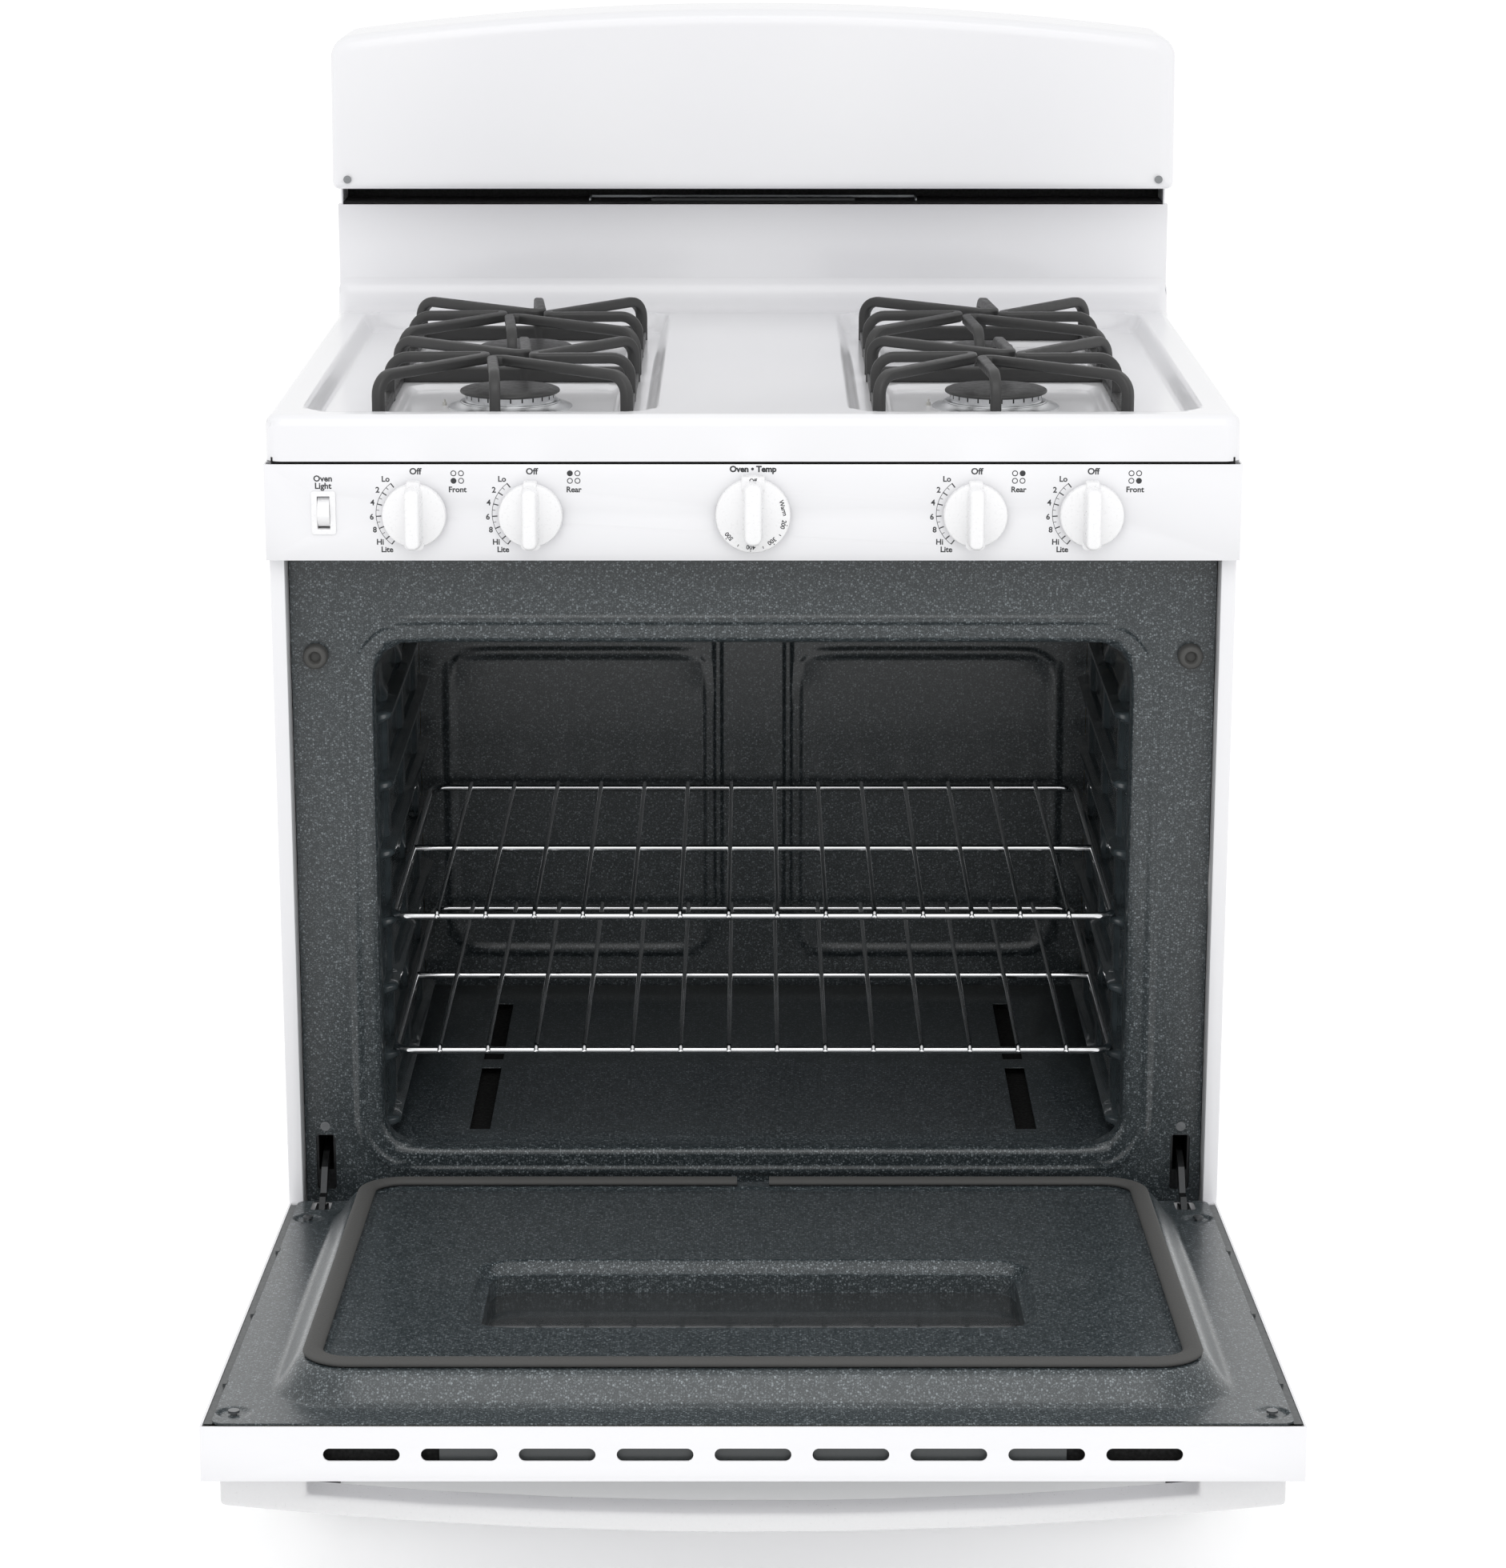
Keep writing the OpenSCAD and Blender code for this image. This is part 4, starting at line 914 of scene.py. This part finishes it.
class GASRANGE_OT_oven(bpy.types.Operator):
    """Press the oven's side walls and back wall"""

    bl_idname = "gasrange.oven"
    bl_label = "Oven walls"

    def execute(self, context):
        low = OVEN_Z - 45
        front = FRAME_D + 2
        posts = [FRAME_D + post for post in (70, 210, 350)]

        def ladder(d, z):
            ends = ease(d, FRAME_D + 24, FRAME_D + 40) * (1 - ease(d, OVEN_BACK - 40, OVEN_BACK - 24))
            out = 0.0
            for level in LADDER_Z:
                top = level - 3.3
                rung = ease(z, top - 13, top - 6) * (1 - ease(z, top - 2, top))
                out = max(out, 12 * rung * ends)
            tall = ease(z, LADDER_Z[0] - 24, LADDER_Z[0] - 16) * (
                1 - ease(z, LADDER_Z[6] + 4, LADDER_Z[6] + 12))
            for post in posts:
                wide = ease(d, post - 4, post + 4) * (1 - ease(d, post + 22, post + 30))
                out = max(out, 5 * tall * wide)
            return out

        ds = grid_lines([front, FRAME_D + 32, OVEN_BACK - 32, OVEN_BACK,
                         *(post + k for post in posts for k in (2, 32))], 3, 14, 9)
        zs = grid_lines([low, OVEN_TOP, *(level - 8 for level in LADDER_Z)], 1.2, 10, 9)
        outline = ((front + OVEN_BACK) / 2, (low + OVEN_TOP) / 2, OVEN_BACK - front, OVEN_TOP - low, 0.01)
        walls = []
        for s in (-1, 1):
            bm = pressed_sheet(ds, zs, ladder, lambda u, v, h: (s * (OVEN_X + 0.2 - h), u, v), outline,
                               outward=(-s, 0, 0))
            walls.append(to_mesh("wall", bm, BODY))
        settle("oven_side_walls", joined("oven_side_walls", walls), "ladder", "range_body",
               ("oven_liner_sides",), 60)

        panel_x, panel_z, panel_w, panel_h = 158.5, 480.5, 237, 283
        panels = [(s * panel_x, panel_z, panel_w, panel_h, 30) for s in (-1, 1)]
        rib_x = 32  # the two upright ribs between the panels

        def back(u, v):
            out = 3 * ease(6 - abs(abs(u) - rib_x), 0, 5) * ease(v, OVEN_Z + 60, OVEN_Z + 75)
            for panel in panels:
                out = max(out, 2 * ease(7 - abs(region(u, v, panel)), 0, 6))
            return out

        us = grid_lines([*edges(0, 2 * OVEN_X), *edges(0, 2 * rib_x), *edges(LAMP[0], LAMP[2]),
                         *edges(panel_x, panel_w), *edges(-panel_x, panel_w)], 1.4, 14, 9)
        vs = grid_lines([low, OVEN_Z + 30, OVEN_TOP, *edges(LAMP[1], LAMP[3]), *edges(panel_z, panel_h)],
                        1.4, 14, 9)
        outline = (0, (low + OVEN_TOP) / 2, 2 * OVEN_X, OVEN_TOP - low, 0.01)
        bm = pressed_sheet(us, vs, back, lambda u, v, h: (u, OVEN_BACK - h, v), outline, [LAMP], (0, -1, 0))
        piece("oven_back_wall", bm, BODY, "speckled", "range_body", ("oven_liner_back",), 60)

        # the unlit chamber seen through the floor's slots
        blocks("floor_slot_shade", [((s * 228, FRAME_D + 223, OVEN_Z - 9), (24, 360, 1)) for s in (-1, 1)],
               BODY, "shade", "range_body")
        return {"FINISHED"}


class GASRANGE_OT_racks(bpy.types.Operator):
    """Weld the two oven racks from chromed wire"""

    bl_idname = "gasrange.racks"
    bl_label = "Racks"

    def execute(self, context):
        sizes = context.scene.range_sizes
        half, deep, first = 294, 417, FRAME_D + 21
        middle, back = first + deep / 2, first + deep - 2
        dia = sizes.rack_wire * 1000
        for name, z in RACK_Z.items():
            bm = bmesh.new()
            loop = [(x, middle + y, z) for x, y in rounded_loop(2 * half, deep - 3, 16)]
            sweep(bm, loop, circle((0, 0), 3, 12), ring=True)
            sweep(bm, [(-half, middle, z), (half, middle, z)], circle((0, 0), 3, 12))
            parts = [to_mesh("rim", closed(bm), BODY)]
            wire = bmesh.new()
            rest = z + 3 + dia / 2 - 1
            path = soft_path([(0, first - 2, z + 0.5), (0, first + 1, rest), (0, back, rest)], (3,), 4)
            sweep(wire, path, circle((0, 0), dia / 2, 10))
            lathe(wire, [(0.01, first - 4), (1.6, first - 3.6), (2.4, first - 2.2), (1.9, first - 0.6),
                         (0.01, first)], (0, z + 0.5), "y", 10)
            count = sizes.rack_wires
            parts.append(repeated("wires", closed(wire), "chrome", count, (RACK_WIRE_PITCH, 0, 0),
                                  start=(-RACK_WIRE_PITCH * (count - 1) / 2, 0, 0)))
            settle(name + "_wires", joined(name, parts), "chrome", name + "_body", (name,), 60)
        return {"FINISHED"}


def knob_mesh(x, dia, deep, wide, flange, short=0.0):
    """A knob with a flat skirt, a grip that narrows outwards and a pointer at its top; a short
    grip stops above the skirt's foot, and a full one ends in a small lip."""
    bm = bmesh.new()
    r, rear = dia / 2, KNOB_REAR
    face, front = rear - 7, rear - deep
    lathe(bm, [(0.01, rear), (r - 0.8, rear), (r, rear - 0.8), (r, rear - 2.6), (r - 0.3, rear - 5.6),
               (r - 0.7, rear - 6.6), (r - 1.3, face), (0.01, face)], (x, KNOB_Z), "y", 96)
    tall = dia - 1.2 - short
    loops = []
    for depth, slim, low in (
        (rear - 4, -2, 0.6), (face - 1, -0.6, 0.4), (face - 3, 0, 0), (front + 4, 1.6, 1.6),
        (front + 1.4, 2.2, 2.4), (front + 0.3, 4, 4.4), (front, 6.4, 7),
    ):
        w = wide - slim
        grip = rounded_loop(w, tall - low, w * 0.42, centre=(x, KNOB_Z + short / 2))
        loops.append([(px, depth, pz) for px, pz in grip])
    loft(bm, loops)
    pointer = [(px, KNOB_Z + r - 3.2 + pz) for px, pz in rounded_loop(flange, 11, 1.6, 4)]
    loft(bm, [[(x + px * k, depth, pz) for px, pz in pointer]
              for k, depth in ((1, rear - 0.6), (1, rear - 9), (0.9, rear - 9.8))])
    if not short:
        lip = [(x + px, KNOB_Z - r + 2.6 + pz) for px, pz in rounded_loop(15, 8, 3.9)]
        loft(bm, [[(px, depth, pz) for px, pz in lip] for depth in (rear - 4, face - 1.2)])
    return bm


class GASRANGE_OT_knobs(bpy.types.Operator):
    """Mould the five knobs and print the oven knob's marks"""

    bl_idname = "gasrange.knobs"
    bl_label = "Knobs"

    def execute(self, context):
        sizes = context.scene.range_sizes
        for i, x in enumerate(KNOB_X):
            bm = knob_mesh(x, sizes.knob_skirt * 1000, 26, 13, 10.5)
            name = f"burner_knob_{i + 1}"
            piece(name + "_moulding", closed(bm), BODY, "knob", f"burner_knob_body_{i + 1}", (name,), 42)
        bm = knob_mesh(0, sizes.oven_skirt * 1000, 28, 15, 18, 8)
        piece("oven_knob_moulding", closed(bm), BODY, "knob", "oven_knob_body", ("oven_knob",), 42)
        face = KNOB_REAR - 7.06
        rim = sizes.oven_skirt * 500
        words = (("Warm", 74), ("200", 105), ("300", 143), ("400", 184), ("500", 230))
        marks = [lettering(w, 4.8, 0, KNOB_Z, face, turn, rim - 5, 0.12) for w, turn in words]
        marks.append(lettering("Off", 4.4, 0, KNOB_Z, KNOB_REAR - 9.86, 0, rim - 0.6, 0.1))
        dots = bmesh.new()
        for turn in (105, 143, 184, 230):
            a = math.radians(turn)
            flat_ring(dots, (rim - 1.9) * math.sin(a), KNOB_Z + (rim - 1.9) * math.cos(a), face, 0.45)
        marks.append(to_mesh("dots", dots, BODY))
        for turn in (125, 162, 207):
            marks.append(repeated("tick", flat_tick(0.3, rim - 4.6, rim - 2.6), "ink",
                                  first_turn=(0, turn, 0), start=(0, face, KNOB_Z)))
        settle("oven_knob_marks", joined("oven_knob_marks", marks), "ink", "oven_knob_body")
        return {"FINISHED"}


class GASRANGE_OT_marks(bpy.types.Operator):
    """Print the dial marks on the control panel"""

    bl_idname = "gasrange.marks"
    bl_label = "Dial marks"

    def execute(self, context):
        d = PANEL_FACE - 0.06
        marks = []
        dial = (("Lo", -22.2, 27.4), ("2", -28.6, 18.8), ("4", -32.8, 8.8), ("6", -33.6, -2.5),
                ("8", -31.4, -12.7), ("Hi", -27.4, -22.4), ("Lite", -22.1, -28.4))
        places = ("Front", "Rear", "Rear", "Front")
        filled = ((-1, -1), (-1, 1), (1, 1), (1, -1))
        first, last, step, rim = 37.2, 142.6, 18.8, 30.4
        for x, place, burner in zip(KNOB_X, places, filled):
            marks.append(lettering("Off", 6.9, x + 1, KNOB_Z + 33.4, d, weight=0.2))
            for word, right, up in dial:
                marks.append(lettering(word, 6.2, x + right, KNOB_Z + up, d, weight=0.18))
            marks.append(lettering(place, 6.2, x + 33.6, KNOB_Z + 19.1, d, weight=0.18))
            bm = bmesh.new()
            for sx in (-1, 1):
                for sz in (-1, 1):
                    eye = 0 if (sx, sz) == burner else 1.6
                    flat_ring(bm, x + 33.6 + sx * 2.95, KNOB_Z + 29.1 + sz * 2.95, d, 2.3, eye)
            track = [[(u, d, v) for u, v in arc((x, KNOB_Z), radius, 90 + first, 90 + last, 30)]
                     for radius in (rim, rim - 0.4)]
            loft(bm, track, (False, False), ring=False)
            marks.append(to_mesh("dial", bm, BODY))
            for count, at, half, inner in ((6, first, 0.45, 26.2), (5, first + step / 2, 0.22, 27.8),
                                           (1, last, 0.45, 26.2)):
                marks.append(repeated("tick", flat_tick(half, inner, rim), "ink", count,
                                      first_turn=(0, -at, 0), turn_step=(0, -step, 0), start=(x, d, KNOB_Z)))
        marks.append(lettering("Oven \u2022 Temp", 6.6, 0, KNOB_Z + 35.2, d, weight=0.3))
        marks.append(lettering("Oven", 6.6, -334.5, KNOB_Z + 27.7, d, weight=0.2))
        marks.append(lettering("Light", 6.6, -334.5, KNOB_Z + 21.9, d, weight=0.2))
        settle("panel_marks", joined("panel_marks", marks), "ink", "range_body")
        return {"FINISHED"}


class GASRANGE_OT_door(bpy.types.Operator):
    """Press the door's inner panel, lay its gasket, and add its side folds, the shade behind its air slots
    and a bracket
    """

    bl_idname = "gasrange.door"
    bl_label = "Oven door"

    def execute(self, context):
        top, low = DOOR_TOP - 3, -8
        screw_low, screw_top = 42, DOOR_TOP - 26
        screws = [(s * 358, z) for s in (-1, 1) for z in (screw_low, screw_top)]
        notches = [(s * HINGE_X, 6, SLOT_W, 24, 2) for s in (-1, 1)]
        notch_top = 18
        outline = (0, (top + low) / 2, 742, top - low, 8)
        slope = 12  # width of the slope down to the window

        def height(u, v):
            off = region(u, v, PLUG)
            out = 21.5 * (1 - ease(off, -1, 21 if v > notch_top else 18))
            if off < -14:
                out -= 1.5 * ease(-off, 14, 19)
            out -= 9 * (1 - ease(region(u, v, WINDOW), 0, slope)) if off < -20 else 0
            for sx, sz in screws:
                out -= 1.4 * (1 - ease(math.hypot(u - sx, v - sz), 8, 13))
            return out

        rim = PLUG[1] + PLUG[3] / 2
        us = grid_lines([*edges(0, outline[2]), *edges(0, PLUG[2], (-14, 0)),
                         *edges(0, WINDOW[2], (0, slope)), *edges(HINGE_X, SLOT_W),
                         *edges(-HINGE_X, SLOT_W)], 1.7, 14, 11)
        vs = grid_lines([low, notch_top, screw_low, rim + 15.5, screw_top, top, *edges(PLUG[1], PLUG[3]),
                         *edges(WINDOW[1], WINDOW[3], (0, slope))], 1.7, 14, 11)
        bm = pressed_sheet(us, vs, height, lambda u, v, h: (u, 10.5 + h, v), outline, [WINDOW, *notches],
                           (0, 1, 0))
        turn_rim(bm, lambda c: region(c.x, c.z, WINDOW) < 0.5, (0, -18, 0))
        turn_rim(bm, lambda c: region(c.x, c.z, outline) > -0.5, (0, -1.3, 0))
        # the door's inner panel takes the enamel's lighter copy, painted light
        piece("door_inner_panel", bm, DOOR, "inner", "oven_door", ("door_liner",), 50)

        width, thick, depth = context.scene.range_sizes.gasket * 1000, 6.6, 34.8
        inset = 2 + width
        around = rounded_loop(PLUG[2] - inset, PLUG[3] - inset, 29, 10, (0, PLUG[1]))
        split = next(i for i, (x, z) in enumerate(around) if x > 0 and z < PLUG[1])
        foot = PLUG[1] - (PLUG[3] - inset) / 2
        path = [(x, depth, z) for x, z in ((13, foot), *around[split:], *around[:split], (-13, foot))]
        bm = sweep(bmesh.new(), path, circle((0, 0), width / 2, 16, thick / width), up=(0, 1, 0))
        piece("door_gasket_rope", closed(bm), DOOR, "rope", "oven_door", ("door_gasket",), 60)

        # grey folds along the door's sides, with three hooks each
        folds = [((s * 373.6, 8.2, 265), (6, 0.6, 535)) for s in (-1, 1)]
        hooks = [((s * 372, 9.6, z), (3, 2.4, 9)) for s in (-1, 1) for z in (130, 290, 450)]
        blocks("door_side_folds", folds + hooks, DOOR, "edge", "oven_door")
        # painted shade: a black sheet for the unlit inside behind the air slots, and the bracket in front of
        # it
        blocks("door_slot_shade", [((0, -11, DOOR_TOP - 9), (720, 30, 1))], DOOR, "shade", "oven_door")
        blocks("door_top_bracket", [((0, -11, DOOR_TOP - 6), (430, 14, 1.2))], DOOR, "edge", "oven_door")
        return {"FINISHED"}


class GASRANGE_OT_handle(bpy.types.Operator):
    """Roll the edges of the door's handle"""

    bl_idname = "gasrange.handle"
    bl_label = "Handle"

    def execute(self, context):
        # the handle takes the darker paint, which is painted shade
        softened("door_handle", "handle", "oven_door", 3.2, 4)
        return {"FINISHED"}


class GASRANGE_OT_fittings(bpy.types.Operator):
    """Add the bumpers, and painted shade in the dark gaps behind the vents and under the cooktop's lip"""

    bl_idname = "gasrange.fittings"
    bl_label = "Bumpers and vents"

    def execute(self, context):
        # painted shade: black sheets for the unlit gap under the cooktop's lip and the vent gap above the
        # splash panel
        blocks("vent_and_lip_shade", (((0, 3, 881), (750, 1, 14)), ((0, 626, 1017.6), (748, 48, 1)),
                               ((0, 649, 1026.8), (748, 1, 18.4))), BODY, "shade", "range_body")
        blocks("vent_mouth", [((0, 616, 1019), (186, 12, 3))], BODY, "hinge", "range_body")
        bm = bmesh.new()
        front, rear = FRAME_D - 10, FRAME_D - 0.3
        for s in (-1, 1):
            lathe(bm, [(0.01, front + 5), (3.6, front + 5), (4.2, front + 1.2), (5.4, front), (7.4, front),
                       (9, front + 1), (9.8, front + 3), (10, rear), (0.01, rear)],
                  (s * BUMPER_X, BUMPER_Z), "y", 48)
        piece("bumper_pads", closed(bm), BODY, "rubber", "range_body", ("door_bumpers",), 40)
        return {"FINISHED"}


class GASRANGE_OT_stage(bpy.types.Operator):
    """Set the floor, the lights and the camera"""

    bl_idname = "gasrange.stage"
    bl_label = "Stage"

    def execute(self, context):
        scene = context.scene
        floor_finish = grained("pale_studio_floor", "F6F6F6", "F4F4F4", 300, 0.8, 0.0,
                               **{"Emission Color": linear("FFFFFF"), "Emission Strength": 0.22})
        bm = bmesh.new()
        bmesh.ops.create_grid(bm, x_segments=4, y_segments=4, size=60)
        mesh = as_mesh("studio_floor", bm)
        mesh.materials.append(floor_finish)
        in_scene("studio_floor", mesh)

        world = bpy.data.worlds.new("soft_studio")
        scene.world = world
        world.use_nodes = True
        sky = world.node_tree.nodes["Background"]
        sky.inputs["Color"].default_value = linear("FFFFFF")
        sky.inputs["Strength"].default_value = 1.0
        for name, place, size, power, aim in (
            ("key_light", (-1.2, -3.4, 2.6), 1.6, 3, (0, 0, 0.6)),
            ("fill_light", (1.6, -3.2, 1.6), 1.6, 2, (0, 0, 0.5)),
            ("top_light", (0, -1.7, 2.3), 1.4, 10, (0, -0.2, 0.3)),
        ):
            light = bpy.data.lights.new(name, "AREA")
            light.size = size
            light.energy = power
            lamp = in_scene(name, light)
            lamp.location = place
            lamp.rotation_euler = (Vector(aim) - Vector(place)).to_track_quat("-Z", "Y").to_euler()

        camera = in_scene("camera", bpy.data.cameras.new("camera"))
        camera.location = (0, -3.156, 1.4355)
        camera.rotation_euler = (math.radians(90 - 14.633), 0, 0)
        camera.data.lens = 92.73
        camera.data.sensor_width = 36
        scene.camera = camera
        scene.view_settings.view_transform = "Standard"
        return {"FINISHED"}


OPERATORS = (
    GASRANGE_OT_finishes, GASRANGE_OT_sheets, GASRANGE_OT_cooktop, GASRANGE_OT_burners, GASRANGE_OT_grates,
    GASRANGE_OT_backguard, GASRANGE_OT_front_frame, GASRANGE_OT_oven, GASRANGE_OT_racks, GASRANGE_OT_knobs,
    GASRANGE_OT_marks, GASRANGE_OT_door, GASRANGE_OT_handle, GASRANGE_OT_fittings, GASRANGE_OT_stage,
)


class GASRANGE_PT_sidebar(bpy.types.Panel):
    """Lists the range's sizes, colours and pieces"""

    bl_idname = "GASRANGE_PT_sidebar"
    bl_label = "Gas Range"
    bl_space_type = "VIEW_3D"
    bl_region_type = "UI"
    bl_category = "Gas Range"

    def draw(self, context):
        column = self.layout.column()
        for group in (context.scene.range_sizes, context.scene.range_colours):
            for name in group.__annotations__:
                column.prop(group, name)
        for operator in OPERATORS:
            column.operator(operator.bl_idname)


CLASSES = (RangeSizes, RangeColours, *OPERATORS, GASRANGE_PT_sidebar)


def register():
    for cls in CLASSES:
        bpy.utils.register_class(cls)
    bpy.types.Scene.range_sizes = PointerProperty(type=RangeSizes)
    bpy.types.Scene.range_colours = PointerProperty(type=RangeColours)


def unregister():
    del bpy.types.Scene.range_colours
    del bpy.types.Scene.range_sizes
    for cls in reversed(CLASSES):
        bpy.utils.unregister_class(cls)


def main():
    register()
    for operator in OPERATORS:
        getattr(bpy.ops.gasrange, operator.bl_idname.split(".")[1])()


if __name__ == "__main__":
    main()
